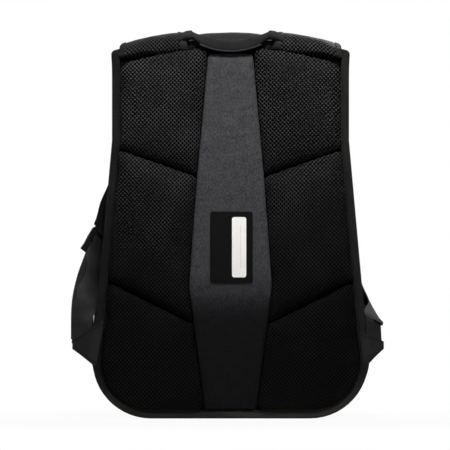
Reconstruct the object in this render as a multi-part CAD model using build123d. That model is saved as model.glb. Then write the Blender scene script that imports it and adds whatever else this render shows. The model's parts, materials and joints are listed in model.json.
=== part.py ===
from build123d import *
import os
from math import acos, atan2, cos, degrees, hypot, radians, sin, sqrt

# Racket backpack, in millimetres. +Z is up, the padded back faces -Y, and the racket
# compartment faces +Y. The origin is on the floor, in the middle of the back panel.

# ---- back panel outline ----
hip_half_width = 149.0
shoulder_half_width = 128.0
shoulder_height = 300.0
corner_height = 393.0
crown_height = 410.0
corner_radius = 63.0
ear_round = 5.0
panel_thickness = 4.0
board_thickness = 2.0
board_inset = 11.0
tape_thickness = 1.2
tape_width = 9.0

# ---- padding on the back ----
pad_inset = 13.0
pad_top_rise = 2.0
pad_rise = 16.0
pad_bevel = 4.5
crease_gap = 2.0
strip_gap = 1.5
strip_thickness = 6.0
strip_widths = [(28.0, 10.0), (45.0, 143.0), (36.0, 262.0), (24.0, 394.0)]
upper_crease = [(36.0, 262.0), (117.0, 290.0)]
lower_crease = [(45.0, 105.0), (131.0, 148.0)]
patch_size = (46.0, 76.5)
patch_centre = (1.0, 185.2)
patch_thickness = 1.4
card_size = (15.4, 65.0)
card_centre = (9.3, 185.0)
card_thickness = 0.6

# ---- main compartment ----
wall = 1.6
flange_inset = 8.0
flange_lift = 2.0
zip_inset = 6.0
front_inset = 9.0
zip_y = 46.0
main_depth = 100.0
crown_lift = 9.0
front_drop = 1.0
shell_round = 26.0
base_height = 68.0
zip_low = 198.0
zip_slot = 12.0

# ---- racket compartment ----
racket_depth = 32.0
racket_zip_inset = 12.0
racket_front_inset = 17.0
racket_zip_drop = 8.0
racket_front_drop = 16.0
racket_zip_low = 200.0
racket_zip_base = 1.0
racket_front_base = 4.0

# ---- front pocket ----
pocket_width = 184.0
pocket_low = 12.0
pocket_high = 190.0
pocket_corner = 24.0
pocket_depth = 24.0
pocket_bevel = 7.0
pocket_zip_height = 160.0
pocket_zip_margin = 17.0

# ---- side pockets ----
side_pocket_low = 12.0
side_pocket_high = 122.0
side_pocket_start = 34.0
side_pocket_end = 88.0
side_pocket_stand = 1.5
side_pocket_base = 3.0
side_wall = 1.2
hem_height = 9.0
hem_thickness = 0.8

# ---- zips ----
row_gap = 1.4
row_width = 2.5
coil_thickness = 2.2
tape_sink = 0.4
zip_tape = 0.8
coil_stand = 0.8
run_clear = 0.3
slider_width = 9.2
slider_length = 12.0
slider_plate = 1.5
neck_width = 0.8
bridge_width = 2.4
bridge_height = 2.6
pin_radius = 0.65
pin_hole_radius = 0.85
pull_width = 7.0
pull_length = 22.0
pull_thickness = 1.4
pull_heel = 0.9
upper_slider_z = 252.0
lower_slider_z = 222.0
racket_slider_z = 216.0
pocket_slider_margin = 30.0

# ---- shoulder straps ----
axis_top = (86.0, 8.0, crown_height - 5.0)
axis_low = (hip_half_width - 7.5, -4.5, 78.0)
root_radius = 42.0
root_gap = 0.6
root_inner = 50.0
root_outer = 120.0
root_thickness = 8.5
root_lift = 1.0
root_reach = 5.0
strap_foam = 6.0
strap_mesh = 2.0
strap_steps = 3
webbing_steps = 2
webbing_width = 25.0
webbing_thickness = 1.4
layer_gap = 0.3
lock_bar = 5.0
lock_depth = 4.0
lock_slot = 6.5
lock_rail = 4.5
lock_clear = 0.8
tab_reach = 9.0
strap_end_width = 42.0
wing_thickness = 2.0
wing_high = 103.0
wing_low = 55.0
wing_tip_height = 80.0
wing_flat = 9.0
seat_margin = 0.6
seat_lift = 2.0
seat_above_wing = 4.0
seat_above_tip = 6.0

# ---- grab handle ----
handle_half = 44.0
handle_rise = 4.0
handle_top = crown_height + handle_rise
handle_lug_depth = 4.0
handle_sag = 11.5
handle_y = -7.5
handle_barrel = 4.0
handle_band_height = 8.0
handle_band_thickness = 4.0
handle_forward = 4.2
piping_radius = 1.4
anchor_width = 5.5


def upright(y):
    """A drawing plane at depth y: its x is the bag's X and its y is the bag's Z."""
    return Plane(origin=(0, y, 0), x_dir=(1, 0, 0), z_dir=(0, -1, 0))


def outline(y, inset, base=None, lift=0.0, top_round=ear_round):
    """The bag's outline at depth y, drawn in by inset, with its top arc raised by lift."""
    base = inset if base is None else base
    low_round = corner_radius - inset
    low_x = hip_half_width - corner_radius
    low_z = base + low_round
    side = shoulder_half_width - inset
    tilt = side_tilt(inset, base)
    rise = crown_height - corner_height
    top_radius = (shoulder_half_width**2 + rise**2) / (2 * rise)
    top_centre = crown_height + lift - top_radius
    arc_radius = top_radius - inset
    turn_x = side - top_round
    turn_z = top_centre + sqrt((arc_radius - top_round) ** 2 - turn_x**2)
    angle = degrees(atan2(turn_z - top_centre, turn_x))
    touch = (low_x + low_round * cos(tilt), low_z + low_round * sin(tilt))
    right = [
        CenterArc((low_x, low_z), low_round, -90, 90 + degrees(tilt)),
        Line(touch, (side, shoulder_height)),
        Line((side, shoulder_height), (side, turn_z)),
        CenterArc((turn_x, turn_z), top_round, 0, angle),
    ]
    left = [mirror(edge, Plane.YZ) for edge in right]
    bottom = Line((-low_x, base), (low_x, base))
    top = CenterArc((0, top_centre), arc_radius, angle, 180 - 2 * angle)
    return upright(y) * make_face(right + [top] + left + [bottom])


def side_tilt(inset, base):
    """How far the slanted side of an outline leans in from the vertical, in radians."""
    low_round = corner_radius - inset
    across = shoulder_half_width - inset - (hip_half_width - corner_radius)
    up = shoulder_height - base - low_round
    return atan2(up, across) - acos(low_round / hypot(across, up))


def side_x(z, inset, base):
    """Half the width of an outline at height z on its slanted side."""
    tilt = side_tilt(inset, base)
    return shoulder_half_width - inset + (shoulder_height - z) * sin(tilt) / cos(tilt)


def slab(y_from, y_to, *shape, **how):
    """A plate with the bag's outline between two depths."""
    return extrude(outline(y_from, *shape, **how), y_to - y_from, dir=(0, 1, 0))


def block(x_from, x_to, y_from, y_to, z_from, z_to):
    """A plain box between two corners."""
    centre = ((x_from + x_to) / 2, (y_from + y_to) / 2, (z_from + z_to) / 2)
    return Pos(*centre) * Box(x_to - x_from, y_to - y_from, z_to - z_from)


def mirrored(shape):
    return mirror(shape, Plane.YZ)


nodes = {}


def keep(name, shape):
    """Store a finished piece under its node's name."""
    shape.label = name
    nodes[name] = shape


# ---- back panel, its board, its bound edge ----
panel_front = -panel_thickness / 2
panel_back = panel_thickness / 2
flange_back = panel_back + tape_thickness


def back_panel():
    keep("back_panel", slab(panel_front, panel_back, tape_thickness))
    board = slab(panel_back, panel_back + board_thickness, board_inset, top_round=shell_round)
    keep("back_board", board)


def back_binding():
    outer = slab(panel_front - tape_thickness, flange_back, 0.0)
    inner = slab(panel_front - tape_thickness, flange_back, tape_width)
    groove = slab(panel_front, panel_back, tape_thickness)
    keep("back_binding", outer - inner - groove)


# ---- spine strip, name patch, card ----
def strip_face(y, margin=0.0, past=0.0):
    """The spine strip's waisted outline, widened by margin and carried on by past at its ends."""
    sides = [(half + margin, z) for half, z in strip_widths]
    for end, beside in ((0, 1), (-1, -2)):
        half, z = sides[end]
        share = past / abs(z - sides[beside][1])
        wider = (half - sides[beside][0]) * share
        sides[end] = (half + wider, z + (z - sides[beside][1]) * share)
    left = [(-half, z) for half, z in reversed(sides)]
    return upright(y) * make_face(Polyline(*sides, *left, close=True))


strip_front = panel_front - strip_thickness


def spine_strip():
    strip = extrude(strip_face(panel_front), strip_thickness, dir=(0, -1, 0))
    keep("spine_strip", strip)
    patch = RectangleRounded(*patch_size, 2.5)
    patch = upright(strip_front) * (Pos(*patch_centre) * patch)
    patch = extrude(patch, patch_thickness, dir=(0, -1, 0))
    card_back = strip_front - patch_thickness
    card = RectangleRounded(*card_size, 2.5)
    card = upright(card_back + card_thickness / 2) * (Pos(*card_centre) * card)
    card = extrude(card, card_thickness, dir=(0, -1, 0))
    keep("name_patch", patch - card)
    keep("name_card", card)


# ---- six mesh pads ----
def crease_line(crease, offset):
    """Two far points of a crease line, from the middle to past the side, moved by offset."""
    (x_in, z_in), (x_out, z_out) = crease
    slope = (z_out - z_in) / (x_out - x_in)
    far = hip_half_width + tape_width
    return [(0, z_in - slope * x_in + offset), (far, z_in + slope * (far - x_in) + offset)]


def back_pads():
    zone = outline(panel_front, pad_inset, lift=pad_top_rise, top_round=ear_round)
    zone = zone - strip_face(panel_front, strip_gap, corner_radius)
    far = hip_half_width + tape_width
    ceiling = [(0, crown_height + far), (far, crown_height + far)]
    floor = [(0, -far), (far, -far)]
    half = crease_gap / 2
    bands = {
        "upper": (ceiling, crease_line(upper_crease, half)),
        "middle": (crease_line(upper_crease, -half), crease_line(lower_crease, half)),
        "lower": (crease_line(lower_crease, -half), floor),
    }
    for level, (above, below) in bands.items():
        mask = upright(panel_front) * make_face(Polyline(*above, *reversed(below), close=True))
        pad = extrude(zone & mask, pad_rise, dir=(0, -1, 0))
        rim = pad.faces().sort_by(Axis.Y)[0].edges()
        pad = chamfer(rim, pad_bevel)
        keep(f"pad_{level}_right", pad)
        keep(f"pad_{level}_left", mirrored(pad))


# ---- main compartment ----
def solid_body(sections, thinner=0.0):
    """A body ruled through outlines: each is depth, inset, base height and top lift."""
    faces = [
        outline(y, inset + thinner, base + thinner, lift, shell_round - thinner)
        for y, inset, base, lift in sections
    ]
    return loft(faces, ruled=True)


def shell(sections):
    """A soft wall through the outlines of a body."""
    return solid_body(sections) - solid_body(sections, wall)


def in_lengths(body, y_from, y_to, heights):
    """A wall cut at some heights into lengths that are sewn end to end."""
    far = hip_half_width + tape_width
    lengths = [
        body & block(-far, far, y_from, y_to, low, high)
        for low, high in zip(heights, heights[1:])
    ]
    return Compound(children=[solid for length in lengths for solid in length.solids()])


main_sections = [
    (flange_back, flange_inset, 0.0, flange_lift),
    (zip_y - zip_slot / 2, zip_inset, 0.0, crown_lift),
    (zip_y + zip_slot / 2, zip_inset, 0.0, crown_lift),
    (main_depth, front_inset, 0.0, -front_drop),
]


def main_compartment():
    body = shell(main_sections)
    far = hip_half_width + tape_width
    tall = crown_height + far
    lower_zip_edge = zip_y - zip_slot / 2
    upper_zip_edge = zip_y + zip_slot / 2
    keep("base_panel", body & block(-far, far, 0, main_depth, -1, base_height))
    side = body & block(0, far, 0, main_depth, base_height, zip_low)
    keep("side_panel_right", side)
    keep("side_panel_left", mirrored(side))
    heights = [zip_low, shoulder_height, tall]
    keep("zip_gusset_back", in_lengths(body, 0, lower_zip_edge, heights))
    keep("zip_gusset_front", in_lengths(body, upper_zip_edge, main_depth, heights))
    keep("main_zip", zip_arch(zip_y, zip_inset, 0.0, crown_lift, zip_low))
    divider = slab(
        main_depth, divider_back, front_inset, 0.0, lift=-front_drop, top_round=shell_round
    )
    keep("divider", divider)


def zip_arch(y, inset, base, lift, low):
    """Two zip rows that run up one side of the bag, over its top and down the other side."""
    rows = []
    for way in (-1, 1):
        edges = sorted((y + way * zip_slot / 2, y + way * (row_gap / 2 + row_width)))
        tape = arch_band(*edges, inset + tape_sink, zip_tape, base, lift, low)
        edges = sorted((y + way * (row_gap / 2 + row_width), y + way * row_gap / 2))
        coil = arch_band(*edges, inset - coil_stand, coil_thickness, base, lift, low)
        rows.append(tape + coil)
    heights = [low, shoulder_height, crown_height + hip_half_width]
    lengths = [in_lengths(row, y - zip_slot, y + zip_slot, heights) for row in rows]
    return Compound(children=[solid for length in lengths for solid in length.solids()])


def arch_band(y_from, y_to, inset, thickness, base, lift, low):
    """A flat ring with the bag's outline, kept above a height."""
    start = base + inset
    outer = slab(y_from, y_to, inset, start, lift=lift, top_round=shell_round)
    inner = slab(
        y_from, y_to, inset + thickness, start + thickness, lift=lift, top_round=shell_round - thickness
    )
    far = hip_half_width + tape_width
    return (outer - inner) & block(-far, far, y_from - 1, y_to + 1, low, crown_height + far)


# ---- racket compartment ----
divider_back = main_depth + wall
racket_back = divider_back
racket_zip_y = racket_back + racket_depth / 2
racket_front = racket_back + racket_depth
racket_sections = [
    (racket_back, front_inset, 0.0, -front_drop),
    (racket_zip_y - zip_slot / 2, racket_zip_inset, racket_zip_base, -racket_zip_drop),
    (racket_zip_y + zip_slot / 2, racket_zip_inset, racket_zip_base, -racket_zip_drop),
    (racket_front, racket_front_inset, racket_front_base, -racket_front_drop),
]


def racket_compartment():
    far = hip_half_width + tape_width
    half_slot = zip_slot / 2
    slot = block(
        -far, far, racket_zip_y - half_slot, racket_zip_y + half_slot, racket_zip_low, crown_height + far
    )
    heights = [0.0, base_height, shoulder_height, crown_height + far]
    wall_ring = shell(racket_sections) - slot
    keep("racket_gusset", in_lengths(wall_ring, racket_back - 1, racket_front + 1, heights))
    arch = zip_arch(
        racket_zip_y, racket_zip_inset, racket_zip_base, -racket_zip_drop, racket_zip_low
    )
    keep("racket_zip", arch)
    panel = slab(
        racket_front,
        front_face,
        racket_front_inset,
        racket_front_base,
        lift=-racket_front_drop,
        top_round=shell_round,
    )
    keep("racket_front", panel)


# ---- front pocket ----
front_face = racket_front + wall
pocket_front = front_face + pocket_depth


def pocket_outline(y, inset):
    height = pocket_high - pocket_low - 2 * inset
    sketch = RectangleRounded(pocket_width - 2 * inset, height, pocket_corner - inset)
    return upright(y) * (Pos(0, (pocket_low + pocket_high) / 2) * sketch)


def front_pocket():
    outer = extrude(pocket_outline(front_face, 0), pocket_depth, dir=(0, 1, 0))
    outer = chamfer(outer.faces().sort_by(Axis.Y)[-1].edges(), pocket_bevel)
    hollow = extrude(pocket_outline(front_face, wall), pocket_depth - wall, dir=(0, 1, 0))
    hollow = chamfer(hollow.faces().sort_by(Axis.Y)[-1].edges(), pocket_bevel)
    half = pocket_width / 2 - pocket_zip_margin
    half_slot = zip_slot / 2
    slot = block(
        -half,
        half,
        pocket_front - 2 * wall,
        pocket_front + 1,
        pocket_zip_height - half_slot,
        pocket_zip_height + half_slot,
    )
    keep("front_pocket", outer - hollow - slot)
    rows = []
    for way in (-1, 1):
        edge = pocket_zip_height + way * half_slot
        join = pocket_zip_height + way * (row_gap / 2 + row_width)
        centre = pocket_zip_height + way * row_gap / 2
        face = pocket_front - tape_sink
        tape = block(-half, half, face - zip_tape, face, *sorted((edge, join)))
        face = pocket_front + coil_stand
        coil = block(-half, half, face - coil_thickness, face, *sorted((join, centre)))
        rows.append(tape + coil)
    keep("pocket_zip", Compound(children=[solid for row in rows for solid in row.solids()]))


# ---- side pockets ----
def side_pockets():
    start = side_pocket_start
    end = side_pocket_end
    outer = slab(start, end, -side_pocket_stand, side_pocket_base)
    inset = side_wall - side_pocket_stand
    inner = slab(start + side_wall, end - side_wall, inset, side_pocket_base + side_wall)
    far = hip_half_width + tape_width
    zone = block(corner_radius, far, start - 1, end + 1, side_pocket_low, side_pocket_high)
    body = solid_body(main_sections)
    pocket = ((outer - inner) & zone) - body
    closing = (outer - body) & block(
        corner_radius, far, start, end, side_pocket_low, side_pocket_low + side_wall
    )
    pocket = pocket + closing
    keep("side_pocket_right", pocket)
    keep("side_pocket_left", mirrored(pocket))
    band = slab(start, end, -side_pocket_stand - hem_thickness, side_pocket_base) - slab(
        start - 1, end + 1, -side_pocket_stand, side_pocket_base
    )
    hem = band & block(corner_radius, far, start, end, side_pocket_high - hem_height, side_pocket_high)
    keep("pocket_hem_right", hem)
    keep("pocket_hem_left", mirrored(hem))


# ---- zip sliders ----
def slider_plane(x, y, z, along, out):
    """A slider's own frame: z along its chain, y out of the bag."""
    side = Vector(*out).cross(Vector(*along))
    return Plane(origin=(x, y, z), x_dir=side, z_dir=along)


slider_face = coil_thickness / 2 + run_clear
pin_out = slider_face + slider_plate + bridge_height / 2


def slider(plane):
    """A slider's two plates, the neck between the zip rows and the bridge for its pull."""
    half = slider_width / 2
    reach = slider_length / 2
    outer = block(-half, half, slider_face, slider_face + slider_plate, -reach, reach)
    outer = chamfer(outer.edges().filter_by(Axis.Y), half * 0.45)
    inner = block(-half, half, -slider_face - slider_plate, -slider_face, -reach, reach)
    inner = chamfer(inner.edges().filter_by(Axis.Y), half * 0.45)
    neck = block(-neck_width / 2, neck_width / 2, -slider_face, slider_face, reach * 0.3, reach * 0.9)
    top = slider_face + slider_plate
    bridge = block(-bridge_width / 2, bridge_width / 2, top, top + bridge_height, -reach * 0.6, reach * 0.6)
    rims = bridge.edges().filter_by(Axis.X).sort_by(Axis.Y)[-2:]
    bridge = chamfer(rims, bridge_height * 0.45)
    hole = Pos(0, pin_out, 0) * Rot(0, 90, 0) * Cylinder(pin_hole_radius, bridge_width * 2)
    return plane * (outer + inner + neck + bridge - hole)


def pull(plane):
    """A zip pull: its pin through the slider's bridge, two cheeks and the tab."""
    pin = Pos(0, pin_out, 0) * Rot(0, 90, 0) * Cylinder(pin_radius, pull_width)
    cheek_in = bridge_width / 2 + run_clear
    low = pin_out - pull_thickness / 2
    high = pin_out + pull_thickness / 2
    neck_end = -slider_length * 0.5
    cheek = block(cheek_in, pull_width / 2, low, high, neck_end, pull_heel)
    tab = block(-pull_width / 2, pull_width / 2, low, high, -pull_length, neck_end)
    tab = chamfer(tab.edges().filter_by(Axis.Y).group_by(Axis.Z)[0], pull_width * 0.3)
    return plane * (pin + cheek + mirror(cheek, Plane.YZ) + tab)


def chain_x(z, inset, base):
    """Where the middle of a side zip's chain lies at height z."""
    tilt = side_tilt(inset, base)
    return side_x(z, inset, base) - (coil_thickness / 2 - coil_stand) / cos(tilt)


def sliders():
    tilt = side_tilt(zip_inset, zip_inset)
    along = (-sin(tilt), 0, cos(tilt))
    out = (cos(tilt), 0, sin(tilt))
    for name, z in (("upper", upper_slider_z), ("lower", lower_slider_z)):
        place = slider_plane(chain_x(z, zip_inset, zip_inset), zip_y, z, along, out)
        keep(f"main_slider_{name}", slider(place))
        keep(f"main_pull_{name}", pull(place))
    racket_base = racket_zip_inset + racket_zip_base
    tilt = side_tilt(racket_zip_inset, racket_base)
    along = (-sin(tilt), 0, cos(tilt))
    out = (cos(tilt), 0, sin(tilt))
    x = chain_x(racket_slider_z, racket_zip_inset, racket_base)
    place = slider_plane(x, racket_zip_y, racket_slider_z, along, out)
    keep("racket_slider", slider(place))
    keep("racket_pull", pull(place))
    chain_y = pocket_front + coil_stand - coil_thickness / 2
    slider_x = pocket_width / 2 - pocket_slider_margin
    place = slider_plane(slider_x, chain_y, pocket_zip_height, (1, 0, 0), (0, 1, 0))
    keep("pocket_slider", slider(place))
    keep("pocket_pull", pull(place))


# ---- grab handle ----
def handle():
    arc_y = handle_y - handle_forward
    chord = handle_half
    radius = (chord**2 + handle_sag**2) / (2 * handle_sag)
    centre_z = handle_top - handle_sag + radius
    half = handle_band_height / 2
    ring = Pos(0, centre_z) * (Circle(radius + half) - Circle(radius - half))
    window = Pos(0, handle_top - handle_sag) * Rectangle(2 * chord, 2 * radius)
    lower_part = Pos(0, handle_top - radius / 2) * Rectangle(2 * chord, radius)
    band = extrude(
        upright(arc_y + handle_band_thickness / 2) * (ring & window & lower_part),
        handle_band_thickness,
        dir=(0, -1, 0),
    )
    barrel = Cylinder(handle_barrel, handle_band_height)
    for way in (-1, 1):
        x = way * (chord - handle_band_height / 2)
        band = band + Pos(x, handle_y, handle_top) * Rot(0, 90, 0) * barrel
    keep("handle_band", band)
    low = radius + half + piping_radius
    reach = degrees(atan2(chord - handle_barrel * 1.5, radius))
    path = upright(arc_y) * CenterArc((0, centre_z), low, -90 - reach, 2 * reach)
    section = Plane(origin=path @ 0, z_dir=path % 0) * RegularPolygon(piping_radius, 6)
    keep("handle_piping", sweep(section, path=path))
    lug_low = crown_height - handle_lug_depth
    for name, way in (("left", -1), ("right", 1)):
        start = chord + run_clear
        x = way * (start + anchor_width / 2)
        knob = Pos(x, handle_y, handle_top) * Rot(0, 90, 0) * Cylinder(handle_barrel, anchor_width)
        lug = block(
            *sorted((way * start, way * (start + anchor_width))),
            handle_y,
            flange_back,
            lug_low,
            handle_top + handle_barrel,
        )
        panel = slab(panel_front - tape_thickness - 1, flange_back + 1, 0.0)
        keep(f"handle_anchor_{name}", knob + (lug - panel))


# ---- shoulder straps ----
def swing_axis(radius, long=40.0):
    """A cylinder about the line that a strap swings on, through the strap's root."""
    top = Vector(*axis_top)
    along = (top - Vector(*axis_low)).normalized()
    plane = Plane(origin=top - along * long, z_dir=along)
    return extrude(plane * Circle(radius), 2 * long)


def strap_root():
    """The padded end of a strap, sewn into the top seam and round where the strap turns."""
    lift = crown_lift
    top_inset = zip_inset - root_lift - root_thickness
    low_inset = zip_inset - root_lift
    top_round = shell_round + root_thickness + root_lift
    start = panel_front - tape_thickness
    end = axis_top[1] + root_radius + root_reach
    outer = slab(start, end, top_inset, lift=lift, top_round=top_round)
    inner = slab(flange_back, end + 1, low_inset, lift=lift, top_round=shell_round + root_lift)
    zone = block(root_inner, root_outer, start, end, shoulder_height, crown_height + 40)
    seam = slab(start - 1, flange_back, 0.0)
    root = (outer & zone & swing_axis(root_radius)) - inner - seam
    low_cut = slab(start - 1, flange_back, pad_inset, lift=lift, top_round=top_round)
    return root - low_cut


def corners(station, thickness, offset):
    """The four corners of a band at a station, moved by offset along its outward normal."""
    centre, across, along, width = station
    out = along.cross(across)
    half = width / 2
    low = offset - thickness / 2
    high = offset + thickness / 2
    places = [(-half, low), (half, low), (half, high), (-half, high)]
    return [centre + across * side + out * level for side, level in places]


def band(frames, thickness, offset=0.0):
    """A solid band of flat facets, which bends and twists along its stations."""
    rings = [corners(frame, thickness, offset) for frame in frames]
    faces = [Face(Wire.make_polygon(ring)) for ring in (rings[0], rings[-1])]
    for here, there in zip(rings, rings[1:]):
        for k in range(4):
            after = (k + 1) % 4
            # Both faces of the band are divided along the same diagonal.
            near, far = (there[after], here[k]) if k < 2 else (there[k], here[after])
            faces.append(Face(Wire.make_polygon([here[k], here[after], near])))
            faces.append(Face(Wire.make_polygon([far, there[after], there[k]])))
    return Solid(Shell(faces))


def curved(points, steps):
    """A route with more points between its own, on a smooth curve through them all."""
    last = len(points) - 1
    route = []
    for i in range(last):
        knots = [points[min(max(i + k, 0), last)] for k in (-1, 0, 1, 2)]
        centres = [Vector(*knot[0]) for knot in knots]
        spans = [(b - a).length for a, b in zip(centres, centres[1:])]
        lead = spans[1] / (spans[0] + spans[1])
        trail = spans[1] / (spans[1] + spans[2])
        for step in range(steps):
            t = step / steps
            rise = t - 2 * t**2 + t**3
            fall = t**3 - t**2
            end = 3 * t**2 - 2 * t**3
            weights = (-rise * lead, 1 - end - fall * trail, end + rise * lead, fall * trail)
            mixed = [
                sum((Vector(*knot[k]) * w for knot, w in zip(knots, weights)), Vector())
                for k in (0, 1)
            ]
            width = sum(knot[2] * w for knot, w in zip(knots, weights))
            route.append((tuple(mixed[0]), tuple(mixed[1]), width))
    return route + [points[last]]


def stations(points, steps, start=None, end=None):
    """Frames along a route: each point has its centre, its width direction and its width."""
    points = curved(points, steps)
    centres = [Vector(*p[0]) for p in points]
    frames = []
    for i, (_, across, width) in enumerate(points):
        before = centres[max(i - 1, 0)]
        after = centres[min(i + 1, len(points) - 1)]
        along = (before - after).normalized()
        if i == 0 and start is not None:
            along = start * -1
        if i == len(points) - 1 and end is not None:
            along = end * -1
        across = Vector(*across)
        across = (across - along * across.dot(along)).normalized()
        frames.append((centres[i], across, along, width))
    return frames


# A route is given for the right strap; the left one's is mirrored.
over_the_top = [
    ((84.0, 26.0, crown_height + 4.0), (0.97, 0, -0.24), 70.0),
    ((85.0, 60.0, crown_height + 5.0), (0.97, 0, -0.24), 70.0),
    ((86.0, 98.0, crown_height + 1.0), (0.98, 0, -0.2), 70.0),
    ((89.0, 130.0, crown_height - 16.0), (0.99, 0, -0.1), 69.0),
    ((91.0, 147.0, crown_height - 48.0), (1, 0, 0), 68.0),
    ((94.0, 149.0, 318.0), (1, 0, 0), 66.0),
]
routes = {
    "left": {
        "drape": [
            ((104.0, 154.0, 272.0), (0.98, -0.1, 0.15), 62.0),
            ((119.0, 154.0, 233.0), (0.88, -0.2, 0.42), 54.0),
        ],
        "lock": ((hip_half_width - 7.0, 128.0, 187.0), (0.40, -0.55, -0.73), (0.714, -0.249, 0.655)),
        "run": [
            ((hip_half_width + 4.0, 88.0, 147.0), (0.66, -0.45, 0.5)),
            ((hip_half_width + 10.0, 54.0, 134.0), (0.85, -0.1, 0.3)),
            ((hip_half_width + 11.0, 20.0, 122.0), (0.88, 0.4, 0.1)),
        ],
        "tail": [
            ((hip_half_width + 8.0, 111.0, 148.0), (0.8, -0.3, 0.4), 25.0),
            ((hip_half_width + 12.5, 104.0, 122.0), (0.95, -0.2, 0.2), 25.0),
            ((hip_half_width + 13.0, 100.0, 84.0), (1, -0.1, 0), 25.0),
        ],
        "seat_turn": 1,
        "wing_fold": 30.0,
        "wing_tip": hip_half_width + 22.0,
    },
    "right": {
        "drape": [
            ((98.0, 151.0, 270.0), (1, 0, 0.05), 60.0),
            ((104.0, 152.0, 232.0), (0.98, 0, 0.15), 50.0),
        ],
        "lock": ((pocket_width / 2 + 23.0, 152.5, 184.0), (0.25, 0, -0.97), (0.97, 0, 0.25)),
        "run": [
            ((pocket_width / 2 + 41.0, 131.0, 151.0), (0.35, -0.75, 0.55)),
            ((hip_half_width - 5.5, 86.0, 139.0), (0.2, -0.75, 0.6)),
            ((hip_half_width + 4.0, 42.0, 129.0), (-0.2, -0.9, 0.35)),
        ],
        "tail": [
            ((pocket_width / 2 + 33.0, 152.0, 135.0), (0.97, 0, 0.2), 25.0),
            ((pocket_width / 2 + 36.0, 151.0, 95.0), (1, 0, 0), 25.0),
        ],
        "seat_turn": -1,
        "wing_fold": 55.0,
        "wing_tip": hip_half_width + 17.0,
    },
}

lock_pitch = lock_bar + lock_slot
lock_half = lock_pitch + lock_bar / 2
tab_end = lock_half + tab_reach
web_out = lock_half + 5.0
tail_level = -(lock_depth / 2 + layer_gap + webbing_thickness / 2)
load_level = tail_level - layer_gap - webbing_thickness


def lock_plane(route):
    """The ladder lock's frame: x along its bars, y out of the strap, z back up the strap."""
    centre, along, across = route["lock"]
    along = Vector(*along).normalized()
    across = Vector(*across)
    across = (across - along * across.dot(along)).normalized()
    return Plane(origin=centre, x_dir=across, z_dir=along * -1), along, across


def strap_pad(route):
    plane, along, across = lock_plane(route)
    end_centre = plane.origin - along * tab_end
    points = over_the_top + route["drape"] + [(tuple(end_centre), tuple(across), strap_end_width)]
    frames = stations(points, strap_steps, end=along)
    foam_offset = strap_mesh / 2
    mesh_offset = -strap_foam / 2
    opening = swing_axis(root_radius + root_gap)
    foam = band(frames, strap_foam, foam_offset) - opening
    mesh = band(frames, strap_mesh, mesh_offset) - opening
    return foam, mesh


def ribbon(plane, points, width, thickness):
    """Webbing bent over bars: points are heights along the lock and out of it."""
    route = FilletPolyline(*[(0, out, up) for up, out in points], radius=thickness * 0.75)
    path = plane * route
    start = Plane(origin=path @ 0, x_dir=plane.x_dir, z_dir=path % 0)
    return sweep(start * Rectangle(width, thickness), path=path)


def ladder_lock(plane):
    """A moulded ladder lock: two rails, a top bar, a ridged middle bar and a lifted lower lip."""
    half = webbing_width / 2 + lock_clear
    reach = half + lock_rail
    deep = lock_depth / 2
    profile = Polyline(
        (-deep, lock_half),
        (deep, lock_half),
        (deep + 0.8, 0),
        (deep, -lock_half + 2),
        (deep + 2.2, -lock_half - 4),
        (deep + 0.6, -lock_half - 5),
        (-deep, -lock_half),
        close=True,
    )
    side = Plane(origin=(-reach, 0, 0), x_dir=(0, 1, 0), z_dir=(1, 0, 0))
    body = extrude(side * make_face(profile), 2 * reach)
    for way in (-1, 1):
        centre = way * lock_pitch / 2
        low = centre - lock_slot / 2
        body = body - block(-half, half, -deep - 5, deep + 5, low, low + lock_slot)
    corners = body.edges().filter_by(Axis.Y).group_by(Axis.Z)[-1]
    body = fillet(corners, lock_rail * 0.7)
    return plane * body


def strap_tab(plane):
    """The short webbing loop round the lock's top bar, sewn into the strap's end."""
    level = lock_depth / 2 + layer_gap + webbing_thickness / 2 + 0.6
    joined = webbing_thickness / 2 + layer_gap / 2
    turn = lock_half - lock_bar - layer_gap - webbing_thickness / 2
    points = [
        (tab_end, joined),
        (tab_end - 2.0, joined),
        (lock_half + 1.5, level),
        (turn, level),
        (turn, -level),
        (lock_half + 1.5, -level),
        (tab_end - 2.0, -joined),
        (tab_end, -joined),
    ]
    return ribbon(plane, points, webbing_width, webbing_thickness)


def strap_webbing(plane, route, along, across):
    """The adjusting webbing: from the wing, under the lock, over its middle bar and out as a tail."""
    over = lock_depth / 2 + 0.8 + layer_gap + webbing_thickness / 2
    up_slot = lock_pitch / 2 - webbing_thickness / 2 + 0.9
    points = [
        (-web_out, load_level),
        (up_slot, load_level),
        (up_slot, over),
        (-up_slot, over),
        (-up_slot, tail_level),
        (-web_out, tail_level),
    ]
    threaded = ribbon(plane, points, webbing_width, webbing_thickness)
    normal = plane.y_dir
    load_start = plane.origin + along * web_out + normal * load_level
    run = [(tuple(load_start), tuple(across), webbing_width)]
    run += [(point, turn, webbing_width) for point, turn in route["run"]]
    run += wing_seat(route)
    run = stations(run, webbing_steps, start=along, end=Vector(0, 0, -1))
    tail_start = plane.origin + along * web_out + normal * tail_level
    tail = [(tuple(tail_start), tuple(across), webbing_width)] + route["tail"]
    tail = stations(tail, webbing_steps, start=along)
    lengths = [threaded, band(run, webbing_thickness), band(tail, webbing_thickness)]
    return Compound(children=[solid for length in lengths for solid in length.solids()])


def wing_line(route):
    """The wing's plan: where it starts, where it folds back and which way it then goes."""
    start = Vector(axis_low[0], panel_front - tape_thickness - layer_gap - wing_thickness / 2)
    fold = start + Vector(wing_flat, 0)
    turn = radians(route["wing_fold"])
    way = Vector(cos(turn), sin(turn))
    return start, fold, way


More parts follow.
